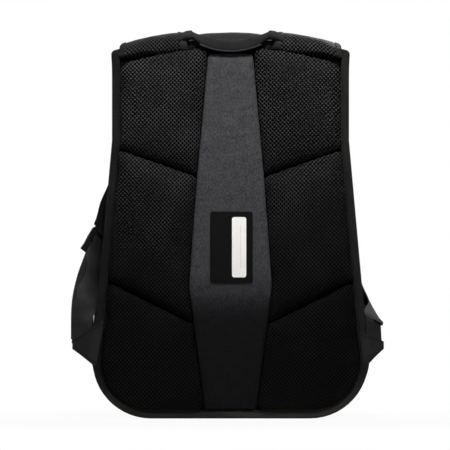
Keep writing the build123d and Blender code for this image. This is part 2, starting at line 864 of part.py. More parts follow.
def wing_seat(route):
    """The webbing's last stations, flat on the back of the wing."""
    _, fold, way = wing_line(route)
    back = Vector(-way.Y, way.X)
    gap = wing_thickness / 2 + webbing_thickness / 2 + layer_gap
    across = (way.X * route["seat_turn"], way.Y * route["seat_turn"], 0)
    low = wing_tip_height + seat_above_tip
    high = wing_high + seat_above_wing
    seat = []
    for share in (1.0, 0.5, 0.0):
        level = gap + seat_lift * share
        centre = fold + way * (webbing_width / 2 + seat_margin) + back * level
        seat.append(((centre.X, centre.Y, low + (high - low) * share), across, webbing_width))
    return seat


def strap_wing(route):
    """The triangle of fabric that ties the webbing to the side seam."""
    start, fold, way = wing_line(route)
    length = (route["wing_tip"] - fold.X) / way.X
    path = Polyline(start, fold, fold + way * length)
    plan = trace(path, wing_thickness)
    tall = extrude(Pos(0, 0, wing_low) * plan, wing_high - wing_low)
    lean = (axis_top[0] - axis_low[0]) / (axis_top[2] - axis_low[2])
    front = Polyline(
        (axis_low[0] + lean * (wing_low - axis_low[2]), wing_low),
        (route["wing_tip"], wing_tip_height - 5),
        (route["wing_tip"], wing_tip_height + 3),
        (axis_low[0] + lean * (wing_high - axis_low[2]), wing_high),
        close=True,
    )
    cut = extrude(upright(hip_half_width) * make_face(front), 2 * hip_half_width)
    return tall & cut


def straps():
    for name, route in routes.items():
        place = mirrored if name == "left" else (lambda shape: shape)
        plane, along, across = lock_plane(route)
        foam, mesh = strap_pad(route)
        keep(f"strap_root_{name}", place(strap_root()))
        keep(f"strap_pad_{name}", place(foam))
        keep(f"strap_lining_{name}", place(mesh))
        keep(f"strap_tab_{name}", place(strap_tab(plane)))
        keep(f"ladder_lock_{name}", place(ladder_lock(plane)))
        keep(f"strap_webbing_{name}", place(strap_webbing(plane, route, along, across)))
        keep(f"strap_wing_{name}", place(strap_wing(route)))


os.makedirs("parts", exist_ok=True)
for make in (
    back_panel,
    back_binding,
    spine_strip,
    back_pads,
    main_compartment,
    racket_compartment,
    front_pocket,
    side_pockets,
    sliders,
    handle,
    straps,
):
    make()

for name, shape in nodes.items():
    export_step(shape, f"parts/{name}.step")
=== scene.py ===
# %% [markdown]
# # A racket backpack, seen at the side that lies on the back
# The bag hangs together from soft parts: six foam pads under spacer mesh, a knitted strip down the
# spine, a bound edge, sewn walls with zips, two shoulder straps and their webbing. The packed model
# gives every part its real size and place. Each cell below dresses one of them. A beginner could
# model the bag by hand with the mouse, but a script can be read, changed and run again.

# %% Load the frame
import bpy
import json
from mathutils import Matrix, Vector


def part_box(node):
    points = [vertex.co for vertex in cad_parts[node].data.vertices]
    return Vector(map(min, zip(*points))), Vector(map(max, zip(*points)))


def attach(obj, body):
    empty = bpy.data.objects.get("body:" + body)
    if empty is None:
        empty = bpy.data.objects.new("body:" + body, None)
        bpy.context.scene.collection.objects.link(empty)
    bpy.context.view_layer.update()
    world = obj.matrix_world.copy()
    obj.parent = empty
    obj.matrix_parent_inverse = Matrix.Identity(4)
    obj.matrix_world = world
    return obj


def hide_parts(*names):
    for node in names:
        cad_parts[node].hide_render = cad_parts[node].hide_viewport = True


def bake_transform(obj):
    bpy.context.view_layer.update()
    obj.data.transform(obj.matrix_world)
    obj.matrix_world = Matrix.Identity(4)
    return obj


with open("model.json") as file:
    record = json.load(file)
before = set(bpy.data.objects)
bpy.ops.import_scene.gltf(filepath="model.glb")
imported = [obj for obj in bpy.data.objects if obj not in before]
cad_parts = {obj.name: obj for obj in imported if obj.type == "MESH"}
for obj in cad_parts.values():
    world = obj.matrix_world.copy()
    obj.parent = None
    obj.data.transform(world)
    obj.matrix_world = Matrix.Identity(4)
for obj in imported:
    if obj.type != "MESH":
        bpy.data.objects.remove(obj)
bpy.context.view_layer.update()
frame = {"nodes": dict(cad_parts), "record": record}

# %% [markdown]
# ## Tools
# Blender's own modules make the meshes and materials, and numpy holds grids of points. Blender
# works in metres, and a bag is easier to think of in millimetres, so one value turns them round.

# %% Modules and units
import json
from math import acos, atan2, cos, degrees, hypot, pi, radians, sin, sqrt

import bmesh
import bpy
import numpy as np
from mathutils import Vector, noise

mm = 0.001
scene = bpy.context.scene
print("one millimetre is", mm, "metres")

# %% [markdown]
# ## From points to cloth
# Nearly every soft part is a grid of points bent into shape. Two layers of that grid, joined round
# their rims, make a closed piece of cloth with a real thickness, which a single skin would not have.
# Each point also keeps where it lies on the flat cloth, in metres, so that a weave can follow the
# cloth round every bend. A texture map could do the same, but a plain attribute is easier to read.

# %% Make a piece
sharp_edge = radians(48)  # Faces that meet at more than this stay crisp.


def make_piece(name, points, faces, cloth=None):
    """A smooth mesh object, with its points' places on the flat cloth."""
    mesh = bpy.data.meshes.new(name)
    mesh.from_pydata([tuple(point) for point in points], [], faces)
    if cloth is not None:
        flat = mesh.attributes.new("cloth", "FLOAT_VECTOR", "POINT")
        places = np.zeros((len(points), 3), np.float32)
        places[:, :2] = cloth
        flat.data.foreach_set("vector", places.ravel())
    faired = bmesh.new()
    faired.from_mesh(mesh)
    bmesh.ops.recalc_face_normals(faired, faces=faired.faces)
    faired.to_mesh(mesh)
    faired.free()
    mesh.shade_smooth()
    mesh.set_sharp_from_angle(angle=sharp_edge)
    piece = bpy.data.objects.new(name, mesh)
    scene.collection.objects.link(piece)
    return piece


def quads(rows, cols, start=0, wrap=False):
    """The faces of a grid of points that are numbered row by row."""
    faces = []
    for i in range(rows - 1):
        for j in range(cols if wrap else cols - 1):
            k = (j + 1) % cols
            here = start + i * cols
            faces.append((here + j, here + k, here + cols + k, here + cols + j))
    return faces


print("sharp edges from", round(degrees(sharp_edge)), "degrees")

# %% [markdown]
# The next helpers measure a grid: where each point lies on the flat cloth, which way the cloth
# faces, and how large the piece was when it was cut. Blender can measure areas too, but only on
# a finished mesh, and the weave and the thickness need these values before there is one.

# %% Measure cloth
def cloth_places(grid):
    """How far each point of a grid lies across and along its cloth."""
    across = np.linalg.norm(np.diff(grid, axis=1), axis=2)
    along = np.linalg.norm(np.diff(grid, axis=0), axis=2)
    u = np.concatenate([np.zeros((len(grid), 1)), np.cumsum(across, axis=1)], axis=1)
    v = np.concatenate([np.zeros((1, grid.shape[1])), np.cumsum(along, axis=0)], axis=0)
    u = u - u[:, [grid.shape[1] // 2]]
    return np.stack([u, v], axis=2)


def normals_of(grid):
    """The unit normal of a grid at each of its points."""
    along = np.gradient(grid, axis=0)
    across = np.gradient(grid, axis=1)
    normal = np.cross(across, along)
    length = np.linalg.norm(normal, axis=2, keepdims=True)
    return normal / np.maximum(length, 1e-12)


def as_cut(grid):
    """The width, length and area that a piece of cloth had when it was cut."""
    width = float(np.linalg.norm(np.diff(grid, axis=1), axis=2).sum(axis=1).max())
    length = float(np.linalg.norm(np.diff(grid, axis=0), axis=2).sum(axis=0).max())
    across, along = np.diff(grid, axis=1)[:-1], np.diff(grid, axis=0)[:, :-1]
    area = float(np.linalg.norm(np.cross(across, along), axis=2).sum())
    return {"flat": (width, length), "area": min(area, width * length)}


flat_square = np.stack(np.meshgrid(np.linspace(0, 1, 3), np.linspace(0, 1, 3), [0.0]), axis=-1)[:, :, 0]
print("a square of one metre is cut as", as_cut(flat_square)["flat"])

# %% [markdown]
# Two helpers close the pieces. A sheet gets a second layer behind its grid. A tube joins rings of
# points and caps its ends. Blender's Solidify and Skin modifiers do much the same, but here each
# point is known, so its place on the cloth can be kept. Most tubes have a rounded section, between
# a circle and a box, and one helper gives it.

# %% Close a piece
def cloth_sheet(name, grid, thickness):
    """A closed piece of cloth whose outer face is a grid of points."""
    rows, cols = grid.shape[:2]
    inner = grid - normals_of(grid) * thickness
    count = rows * cols
    faces = quads(rows, cols) + [face[::-1] for face in quads(rows, cols, count)]
    for j in range(cols - 1):
        last = (rows - 1) * cols
        faces.append((j, count + j, count + j + 1, j + 1))
        faces.append((last + j + 1, count + last + j + 1, count + last + j, last + j))
    for i in range(rows - 1):
        low = i * cols
        faces.append((low + cols, count + low + cols, count + low, low))
        high = low + cols - 1
        faces.append((high, count + high, count + high + cols, high + cols))
    places = cloth_places(grid).reshape(-1, 2)
    points = np.concatenate([grid.reshape(-1, 3), inner.reshape(-1, 3)])
    return make_piece(name, points, faces, np.concatenate([places, places]))


def tube(name, rings, closed=False):
    """A closed form through rings of points: its ends are capped, or meet if it is closed."""
    rows, cols = rings.shape[:2]
    faces = quads(rows, cols, wrap=True)
    if closed:
        last = (rows - 1) * cols
        faces += [(last + j, last + (j + 1) % cols, (j + 1) % cols, j) for j in range(cols)]
    else:
        faces.append(tuple(range(cols))[::-1])
        faces.append(tuple(range((rows - 1) * cols, rows * cols)))
    return make_piece(name, rings.reshape(-1, 3), faces, cloth_places(rings).reshape(-1, 2))


def rounded_section(count, power_across=1.0, power_up=1.0):
    """A loop of unit places: a circle at powers of 1, and nearer to a box as they shrink."""
    loop = []
    for k in range(count):
        c, s = cos(2 * pi * k / count), sin(2 * pi * k / count)
        loop.append((np.sign(c) * abs(c) ** power_across, np.sign(s) * abs(s) ** power_up))
    return loop


print("a section's first corner:", np.round(rounded_section(8, 0.45, 0.42)[1], 2))

# %% [markdown]
# ## Small unevenness
# Sewn cloth is never quite flat. Blender's noise gives each place a value that changes smoothly, and
# the same place always gets the same value, so the bag looks the same each time it is made.

# %% Uneven cloth
def uneven(grid, size, seed):
    """Smooth values between about -1 and 1 at each point; size is how far apart they change."""
    scale = Vector((1 / size,) * 3)
    flat = grid.reshape(-1, 3)
    values = [noise.noise(Vector(point) * scale + Vector((seed, seed * 0.7, 0))) for point in flat]
    return np.array(values).reshape(grid.shape[:-1])


print("sample of unevenness:", round(float(uneven(np.ones((1, 1, 3)), 0.3, 2)[0, 0]), 3))

# %% [markdown]
# ## Writing shader maths as sums
# A finish is a small network of nodes. Drawing it by hand is slow to change, so this class wraps one
# socket and lets Python's own operators add the Math nodes. Every other node comes from one method.

# %% A socket that can be added and multiplied
class Wire:
    """One value or colour in a material's node tree."""

    def __init__(self, tree, socket=None):
        self.tree = tree
        self.socket = socket

    def make(self, kind, settings=(), ins=(), out=0):
        """Adds a node: its settings come first, then its inputs, each a number, a colour or a wire."""
        node = self.tree.nodes.new(kind)
        for name, value in dict(settings).items():
            setattr(node, name, value)
        for name, value in dict(ins).items():
            if isinstance(value, Wire):
                self.tree.links.new(value.socket, node.inputs[name])
            else:
                node.inputs[name].default_value = value
        return Wire(self.tree, node.outputs[out])

    def maths(self, operation, *values):
        return self.make("ShaderNodeMath", {"operation": operation}, enumerate(values))

    def __add__(self, other):
        return self.maths("ADD", self, other)

    def __sub__(self, other):
        return self.maths("SUBTRACT", self, other)

    def __rsub__(self, other):
        return self.maths("SUBTRACT", other, self)

    def __mul__(self, other):
        return self.maths("MULTIPLY", self, other)

    def __truediv__(self, other):
        return self.maths("DIVIDE", self, other)

    def __pow__(self, power):
        return self.maths("POWER", self, power)

    def __abs__(self):
        return self.maths("ABSOLUTE", self)

    __radd__ = __add__
    __rmul__ = __mul__

    def fraction(self):
        return self.maths("FRACT", self)

    def sine(self):
        return self.maths("SINE", self)

    def smooth(self, low, high):
        """0 below low, 1 above high, and a smooth rise between them."""
        return self.make(
            "ShaderNodeMapRange",
            {"interpolation_type": "SMOOTHSTEP"},
            {"Value": self, "From Min": low, "From Max": high},
        )

    def mix(self, first, second):
        """A colour between two others, with this value as its share of the second."""
        return self.make("ShaderNodeMix", {"data_type": "RGBA"}, {0: self, 6: first, 7: second}, out=2)


print("operators:", [name for name in vars(Wire) if name.startswith("__")][3:])

# %% [markdown]
# ## Where a weave lies
# A weave needs places in metres on the cloth itself. A made piece has them in its attribute. A packed
# part has none, so its finish uses the part's own X, Y and Z instead.

# %% Places and grain
def axes(vector):
    """The X, Y and Z of a vector as three wires."""
    node = vector.make("ShaderNodeSeparateXYZ", ins={0: vector}).socket.node
    return [Wire(vector.tree, node.outputs[axis]) for axis in "XYZ"]


def own_place(wire):
    """A place on the part, in metres from the bag's origin."""
    return wire.make("ShaderNodeTexCoord", out="Object")


def cloth_uv(wire):
    """Across and along the flat cloth, in metres."""
    flat = wire.make("ShaderNodeAttribute", {"attribute_name": "cloth"}, out="Vector")
    return axes(flat)[:2]


def grain(wire, size, detail=3.0):
    """Noise whose lumps are about this size, from 0 to 1."""
    place = own_place(wire)
    return wire.make(
        "ShaderNodeTexNoise", ins={"Vector": place, "Scale": 1 / size, "Detail": detail}
    )


def grey(value, warm=0.0):
    """An almost neutral colour."""
    return (value * (1 + warm), value, value * (1 - warm), 1.0)


def finish(name, recipe, roughness, specular=0.2, metallic=0.0):
    """A material: recipe returns its colour, its height and how high the height stands, in metres."""
    material = bpy.data.materials.new(name)
    material.use_nodes = True
    tree = material.node_tree
    shader = tree.nodes["Principled BSDF"]
    colour, height, depth = recipe(Wire(tree))
    tree.links.new(colour.socket, shader.inputs["Base Color"])
    bump = colour.make("ShaderNodeBump", ins={"Strength": 1.0, "Distance": depth, "Height": height})
    tree.links.new(bump.socket, shader.inputs["Normal"])
    shader.inputs["Roughness"].default_value = roughness
    shader.inputs["Specular IOR Level"].default_value = specular
    shader.inputs["Metallic"].default_value = metallic
    return material


print("a mid grey:", grey(0.2))

# %% [markdown]
# ## Spacer mesh
# The pads and the inner side of the straps are covered in spacer mesh, a thick knit with staggered
# holes about 3 mm apart. The holes could be cut as geometry, but there are more than ten thousand,
# so two lattices, one shifted by half a cell, give the distance to the nearest hole instead. The
# threads are painted darker towards the foot of the bag, as painted shade under a light from above,
# like the strip between the pads, and their pale grey is partly painted glints of sheen.

# %% Spacer mesh
hole_across = 4.3 * mm
hole_along = 4.5 * mm
hole_radius = 1.0 * mm


def hole_distance(u, v, shift):
    """How far each place is from the nearest hole of one lattice."""
    x = (u / hole_across + shift).fraction() - 0.5
    y = (v / hole_along + shift).fraction() - 0.5
    x = x * hole_across
    # A shortened distance makes each hole a little longer than it is wide.
    y = y * (hole_along * 0.8)
    return (x * x + y * y) ** 0.5


def spacer_mesh(wire):
    """Worn dark threads round small black holes, with painted shade towards the floor and painted glints."""
    u, v = cloth_uv(wire)
    nearest = u.maths("MINIMUM", hole_distance(u, v, 0.0), hole_distance(u, v, 0.5))
    thread = nearest.smooth(hole_radius * 0.85, hole_radius * 2.0)
    worn = grain(wire, 40 * mm).smooth(0.35, 0.75)
    fibre = grain(wire, 0.7 * mm).smooth(0.3, 0.7)
    height = axes(own_place(wire))[2]
    # Painted shade: the threads get darker lower down, as if less of the light from above reached them.
    painted_light_by_height = height.smooth(80 * mm, 380 * mm) * 0.78 + 0.22
    # The pale grey of the threads is partly their own tone and partly painted glints of sheen.
    threads = (worn * 0.4 + fibre * 0.6).mix(grey(0.024), grey(0.13))
    colour = (thread * painted_light_by_height).mix(grey(0.0004), threads)
    return colour, thread * 0.8 + fibre * 0.2, 1.2 * mm


mesh_cloth = finish("spacer_mesh", spacer_mesh, 0.5, specular=0.04)
print("holes per square centimetre:", round(2 * 0.01**2 / (hole_across * hole_along), 1))

# %% [markdown]
# ## The other cloths
# The spine strip is a heathered knit: dark grey with lighter flecks and a fine grain, with painted
# shade that darkens it towards its foot. The bound edge and the webbing are ribbed, so a sine wave
# along or across the cloth makes their ribs, and the edge is dusty near the floor. The walls are a
# plain weave, where two waves cross. Each has a little noise, so no two places match exactly.

# %% Woven and knitted cloths
def heather_knit(wire):
    """A grey knit with lighter flecks, with painted shade that darkens it towards its foot."""
    place = own_place(wire)
    streaks = wire.make(
        "ShaderNodeMapping", {"vector_type": "POINT"}, {"Vector": place, "Scale": (1, 1, 0.45)}
    )
    fleck = wire.make(
        "ShaderNodeTexNoise", ins={"Vector": streaks, "Scale": 1 / (1.1 * mm), "Detail": 4.0}
    )
    patches = grain(wire, 9 * mm, 4.0)
    share = fleck.smooth(0.34, 0.68) * 0.75 + patches.smooth(0.3, 0.7) * 0.25
    # Painted shade: below the patch the strip takes the darker colours in dark, as if turned away from the
    # light.
    painted_light_above = axes(place)[2].smooth(105 * mm, 165 * mm)
    dark = share.mix((0.003, 0.003, 0.0035, 1.0), (0.010, 0.010, 0.011, 1.0))
    colour = painted_light_above.mix(dark, share.mix((0.024, 0.024, 0.026, 1.0), (0.058, 0.058, 0.063, 1.0)))
    return colour, fleck, 0.25 * mm


def ribbed(pitch, along_cloth, dark, pale, warm=0.0, dusty=False):
    """A cloth with ribs across it or along it, paler at its foot if it is dusty."""

    def recipe(wire):
        u, v = cloth_uv(wire)
        rib = ((v if along_cloth else u) * (2 * pi / pitch)).sine() * 0.5 + 0.5
        cross = ((u if along_cloth else v) * (2 * pi / (pitch * 0.8))).sine() * 0.5 + 0.5
        fibre = grain(wire, 0.8 * mm)
        worn = grain(wire, 30 * mm).smooth(0.3, 0.7)
        height = rib * 0.7 + cross * 0.2 + fibre * 0.1
        share = height * 0.6 + worn * 0.4
        colour = share.mix(grey(dark, warm), grey(pale, warm))
        if dusty:
            low = axes(own_place(wire))[2].smooth(45 * mm, 0.0)
            colour = (low * 0.8).mix(colour, grey(0.04, 0.12))
        return colour, height, 0.3 * mm

    return recipe


def plain_weave(pitch, dark, pale, warm=0.0):
    """Two crossing waves, over and under in turn."""

    def recipe(wire):
        u, v = cloth_uv(wire)
        over = (u * (2 * pi / pitch)).sine() * (v * (2 * pi / pitch)).sine()
        height = over * 0.5 + 0.5
        worn = grain(wire, 35 * mm, 4.0).smooth(0.3, 0.75)
        share = height * 0.45 + worn * 0.55
        return share.mix(grey(dark, warm), grey(pale, warm)), height, 0.12 * mm

    return recipe


knit = finish("heather_knit", heather_knit, 0.9, specular=0.08)
tape_cloth = finish("edge_tape", ribbed(1.1 * mm, True, 0.007, 0.024, 0.05, dusty=True), 0.75, specular=0.1)
wall_cloth = finish("shell_fabric", plain_weave(0.9 * mm, 0.007, 0.018, 0.02), 0.72, specular=0.14)
pocket_cloth = finish("pocket_mesh", plain_weave(1.6 * mm, 0.005, 0.020), 0.75, specular=0.14)
handle_cloth = finish("handle_fabric", plain_weave(2.2 * mm, 0.002, 0.026), 0.8, specular=0.1)
band_cloth = finish("webbing", ribbed(2.4 * mm, False, 0.002, 0.032), 0.62, specular=0.16)
print("cloths:", len(bpy.data.materials))

# %% [markdown]
# ## Leather, card, thread, rubber, plastic and metal
# These small parts are smooth, so most of their look is in how they shine. Leather has a fine pebble
# grain, which the cells of a Voronoi pattern give. The zips' chain has ribs across it. On the sides
# of the bag it runs up and down, and over the top it turns to run across, so the ribs follow the
# difference of X and Z. Wear is faint noise in the colour.

# %% Smooth finishes
def speckled(size, dark, pale, depth):
    """A smooth surface with faint grain."""

    def recipe(wire):
        fine = grain(wire, size)
        share = fine * 0.5 + grain(wire, size * 20) * 0.5
        return share.smooth(0.3, 0.7).mix(grey(dark), grey(pale)), fine, depth

    return recipe


def leather(wire):
    """Black leather with a fine pebbled grain."""
    place = own_place(wire)
    pebble = wire.make(
        "ShaderNodeTexVoronoi",
        {"feature": "SMOOTH_F1"},
        {"Vector": place, "Scale": 1 / (0.8 * mm)},
        out="Distance",
    )
    worn = grain(wire, 12 * mm)
    colour = (pebble * 0.6 + worn * 0.4).mix(grey(0.0008), grey(0.003))
    return colour, 1 - pebble, 0.12 * mm


def card(wire):
    """White card with one faint dotted line for a name."""
    x, _, z = axes(own_place(wire))
    line_x = abs(x - card_line_x).smooth(0.45 * mm, 0.15 * mm)
    dots = abs((z / (1.5 * mm)).fraction() - 0.5).smooth(0.3, 0.15)
    inside = abs(z - card_middle_z).smooth(card_line_half, card_line_half - 0.3 * mm)
    mark = line_x * dots * inside * 0.55
    paper = grain(wire, 3 * mm)
    colour = mark.mix(paper.mix(grey(0.78, 0.03), grey(0.86, 0.03)), grey(0.12))
    return colour, paper, 0.02 * mm


def zip_teeth(wire):
    """Ribs across the zip's chain, wherever on the bag the chain runs."""
    x, _, z = axes(own_place(wire))
    rib = ((abs(x) - z) * (2 * pi / (1.5 * mm))).sine() * 0.5 + 0.5
    return rib.smooth(0.2, 0.8).mix(grey(0.003), grey(0.034)), rib, 0.3 * mm


card_low, card_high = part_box("name_card")
card_middle_z = (card_low.z + card_high.z) / 2
card_line_x = (card_low.x + card_high.x) / 2 + 1.5 * mm
card_line_half = (card_high.z - card_low.z) * 0.36

patch_leather = finish("leather_patch", leather, 0.48, specular=0.14)
card_white = finish("paper_card", card, 0.42, specular=0.4)
thread_black = finish("sewing_thread", speckled(0.6 * mm, 0.001, 0.004, 0.05 * mm), 0.6, specular=0.05)
rubber = finish("pull_rubber", speckled(0.7 * mm, 0.010, 0.018, 0.05 * mm), 0.55, specular=0.4)
plastic = finish("moulded_plastic", speckled(0.9 * mm, 0.008, 0.014, 0.02 * mm), 0.28, specular=0.5)
coil_plastic = finish("zip_chain", zip_teeth, 0.35, specular=0.5)
enamel = finish("zip_metal", speckled(0.7 * mm, 0.012, 0.022, 0.01 * mm), 0.3, specular=0.6, metallic=0.4)
board = finish("stiff_board", speckled(2 * mm, 0.04, 0.06, 0.02 * mm), 0.5)
print("materials:", len(bpy.data.materials))

# %% [markdown]
# ## Dressing the parts
# Every part of the packed model names a slot, and each slot has one finish. The packed parts that
# stay visible get theirs here. The soft ones are hidden later, each behind the piece that stands
# for it.

# %% Dress the packed parts that stay
finishes = {
    "spacer_mesh": mesh_cloth,
    "heather_knit": knit,
    "leather_patch": patch_leather,
    "paper_card": card_white,
    "edge_tape": tape_cloth,
    "shell_fabric": wall_cloth,
    "lining_fabric": wall_cloth,
    "pocket_mesh": pocket_cloth,
    "handle_fabric": handle_cloth,
    "webbing": band_cloth,
    "zip_chain": coil_plastic,
    "zip_metal": enamel,
    "pull_rubber": rubber,
    "moulded_plastic": plastic,
    "stiff_board": board,
}
slots = {part["node"]: part["material_slot"] for part in frame["record"]["subparts"]}
for name, node in frame["nodes"].items():
    node.data.materials.clear()
    node.data.materials.append(finishes[slots[name]])
print("dressed", len(slots), "packed parts")

# %% [markdown]
# A made piece needs more than a finish: also the body that it moves with, and the packed parts that it
# stands for must be hidden. One short function does all of these, so that none is forgotten.

# %% Dress a made piece
def dress(piece, body, slot, material=None, replaces=()):
    """Gives a piece its finish and its body, and hides the packed parts that it stands for."""
    piece.data.materials.clear()
    piece.data.materials.append(material or finishes[slot])
    if body:
        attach(piece, body)
    if replaces:
        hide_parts(*replaces)
    return piece


print("finishes:", len(set(finishes.values())))

# %% [markdown]
# ## The bag's outline
# Every wall, the bound edge and the pads follow one outline: a flat base, wide round corners, sides
# that lean in up to the shoulders, small square ears and a shallow arch. Reading it at the same
# places for each inset gives rings that can be joined point by point into walls.

# %% Outline
hip, shoulder, shoulder_z = 0.149, 0.128, 0.300
corner_z, crown_z, low_corner = 0.393, 0.410, 0.063
top_radius = (shoulder**2 + (crown_z - corner_z) ** 2) / (2 * (crown_z - corner_z))


def outline(inset, base=None, lift=0.0, top_round=0.005, steps=(10, 14, 16, 8, 8, 22)):
    """Points round the outline, from the middle of the base up the right side and down the left."""
    base = inset if base is None else base
    low_round = low_corner - inset
    low_x, low_z = hip - low_corner, base + low_round
    side = shoulder - inset
    across, up = side - low_x, shoulder_z - base - low_round
    tilt = atan2(up, across) - acos(low_round / hypot(across, up))
    centre = crown_z + lift - top_radius
    arc = top_radius - inset
    turn_x = side - top_round
    turn_z = centre + sqrt((arc - top_round) ** 2 - turn_x**2)
    angle = atan2(turn_z - centre, turn_x)

    def on_arc(x, z, radius, turn):
        """The place on a circle round (x, z) at an angle."""
        return np.array((x + radius * cos(turn), z + radius * sin(turn)))

    corner_end, shoulder_point = on_arc(low_x, low_z, low_round, tilt), np.array((side, shoulder_z))
    legs = [
        lambda t: (low_x * t, base),
        lambda t: on_arc(low_x, low_z, low_round, -pi / 2 + (pi / 2 + tilt) * t),
        lambda t: corner_end * (1 - t) + shoulder_point * t,
        lambda t: (side, shoulder_z + (turn_z - shoulder_z) * t),
        lambda t: on_arc(turn_x, turn_z, top_round, angle * t),
        lambda t: on_arc(0, centre, arc, angle + (pi / 2 - angle) * t),
    ]
    right = [tuple(leg(step / count)) for leg, count in zip(legs, steps) for step in range(count)]
    right.append((0.0, centre + arc))
    left = [(-x, z) for x, z in reversed(right[1:-1])]
    return np.array(right + left)


def at_depth(loop, y):
    """Outline points as places in space."""
    return np.stack([loop[:, 0], np.full(len(loop), y), loop[:, 1]], axis=1)


ring_size = len(outline(0.0))
top_index = ring_size // 2
print("points round the outline:", ring_size)

# %% [markdown]
# ## The bound edge
# A folded tape wraps the edge of the back panel. One section of the fold, swept round the outline,
# makes it: each inset of the section is one more ring. Slightly swollen flanks and a small wobble
# make it look like sewn tape, not like moulding. At the two top corners the folded ends pile up into
# small ears, so the tape is thicker there and stands a little higher.

# %% Bound edge
# The fold's section: how far in from the edge, and how far back, in millimetres.
tape_section = [
    (9.0, -2.3), (8.8, -3.15), (6.5, -3.45), (3.2, -3.5), (1.2, -3.3), (0.25, -2.4), (0.0, -0.6),
    (0.0, 1.0), (0.3, 2.4), (1.4, 3.05), (5.0, 3.2), (9.0, 3.1), (9.0, 2.2), (5.0, 1.9), (2.0, 1.6),
    (2.0, -1.6), (5.0, -2.1),
]
ear_from_x, ear_from_z = 108 * mm, 376 * mm
ear_rise, ear_spread, ear_swell = 4.0 * mm, 0.8 * mm, 0.35


def bound_edge():
    """The folded tape round the back panel, thicker in its two ears."""
    rings = []
    for inset, y in tape_section:
        loop = outline(inset * mm, top_round=max((5.3 - inset * 0.3) * mm, 2.6 * mm))
        rings.append(at_depth(loop, y * mm))
    rings = np.stack(rings, axis=1)
    aside = np.clip((np.abs(rings[:, :, 0]) - ear_from_x) / (8 * mm), 0, 1)
    ear = aside * np.clip((rings[:, :, 2] - ear_from_z) / (12 * mm), 0, 1)
    rings[:, :, 2] += ear * ear_rise
    rings[:, :, 0] += ear * np.sign(rings[:, :, 0]) * ear_spread
    rings[:, :, 1] *= 1 + ear * ear_swell
    ripple = uneven(rings, 22 * mm, 3.0)[:, :, None] * np.array((0.0, 0.35 * mm, 0.0))
    rings += ripple
    return tube("edge_binding", rings, closed=True)


binding = dress(bound_edge(), "bag", "edge_tape", replaces=["back_binding"])
print("tape points:", len(binding.data.vertices))

# %% [markdown]
# Stitches hold every seam. Each one that shows is a short length of thread that dips into the cloth
# at both ends. An image texture could fake them, but real little tubes catch the light from any side.

# %% Stitches
def thread_dashes(name, path, normals, pitch, length, radius):
    """Stitches along a path: flat little loops that stand just out of the cloth."""
    path, normals = np.asarray(path), np.asarray(normals)
    gaps = np.linalg.norm(np.diff(path, axis=0), axis=1)
    reached = np.concatenate([[0], np.cumsum(gaps)])
    points, faces, cloth = [], [], []
    count = int(reached[-1] // pitch)
    for i in range(count):
        ends = []
        for share in (-0.5, -0.2, 0.2, 0.5):
            place = (i + 0.5) * pitch + share * length
            spot = np.array([np.interp(place, reached, path[:, k]) for k in range(3)])
            out = np.array([np.interp(place, reached, normals[:, k]) for k in range(3)])
            ends.append((spot, out / np.linalg.norm(out)))
        along = ends[3][0] - ends[0][0]
        along /= np.linalg.norm(along)
        start = len(points)
        for (spot, out), level in zip(ends, (-0.9, 0.35, 0.35, -0.9)):
            side = np.cross(along, out)
            for k in range(6):
                turn = k * pi / 3
                points.append(spot + side * cos(turn) * radius * 1.3 + out * (sin(turn) + level) * radius)
                cloth.append((place, k * radius))
        faces += quads(4, 6, start, wrap=True)
        faces.append(tuple(range(start, start + 6))[::-1])
        faces.append(tuple(range(start + 18, start + 24)))
    return make_piece(name, points, faces, cloth)


edge_path = at_depth(outline(7.3 * mm), -3.45 * mm)
edge_path = np.concatenate([edge_path, edge_path[:1]])
edge_out = np.tile((0.0, -1.0, 0.0), (len(edge_path), 1))
edge_stitches = thread_dashes("binding_stitches", edge_path, edge_out, 3.7 * mm, 2.3 * mm, 0.34 * mm)
dress(edge_stitches, "bag", "edge_tape", thread_black)
print("stitches round the edge:", len(edge_stitches.data.polygons) // 20)

# %% [markdown]
# ## Six foam pads
# Foam under mesh bulges in the middle and is pulled down at its seams. A cloth simulation finds that
# shape: a thin slab with the pad's outline is inflated while its rim and back stay pinned. Painting
# the bulge by hand is possible too, but the simulation rounds each corner the way cloth would.

# %% Strip and creases
# Half the strip's width, and the height at which it has that width, in millimetres.
strip_sides = [(28.0, 10.0), (45.0, 143.0), (36.0, 262.0), (24.0, 394.0)]
# Each crease runs from the strip to the edge: two places, in millimetres.
creases = {"upper": [(36.0, 262.0), (117.0, 290.0)], "lower": [(45.0, 105.0), (131.0, 148.0)]}


def strip_half(z):
    """Half the width of the spine strip at a height, in metres."""
    widths, heights = zip(*strip_sides)
    return float(np.interp(z / mm, heights, widths)) * mm


def crease_z(which, x):
    """The height of a crease at a place across the back, in metres."""
    (x_in, z_in), (x_out, z_out) = creases[which]
    return (z_in + (z_out - z_in) * (abs(x) / mm - x_in) / (x_out - x_in)) * mm


print("strip width at its widest place:", round(2 * strip_half(143 * mm) / mm), "mm")

# %% [markdown]
# Each pad fills the space between the strip, two creases and the edge tape. Only the right-hand
# outlines are worked out. Their upper corners drop a little, where the straps' roots press on them.

# %% Pad outlines
pad_inset = 9.0 * mm  # The pads' rims reach the inner edge of the tape.
beside_strip = 0.7 * mm
beside_crease = 1.0 * mm
corner_drop = 3.5 * mm


def pad_border():
    """The pads' outer border on the right, from the base to the top."""
    edge = outline(pad_inset, lift=0.0, top_round=12 * mm, steps=(10, 14, 26, 14, 6, 22))
    edge = edge[: len(edge) // 2 + 1]
    near_top = np.clip((edge[:, 1] - 370 * mm) / (15 * mm), 0, 1)
    edge[:, 1] -= near_top * (edge[:, 0] / (112 * mm)) ** 2 * corner_drop
    return edge


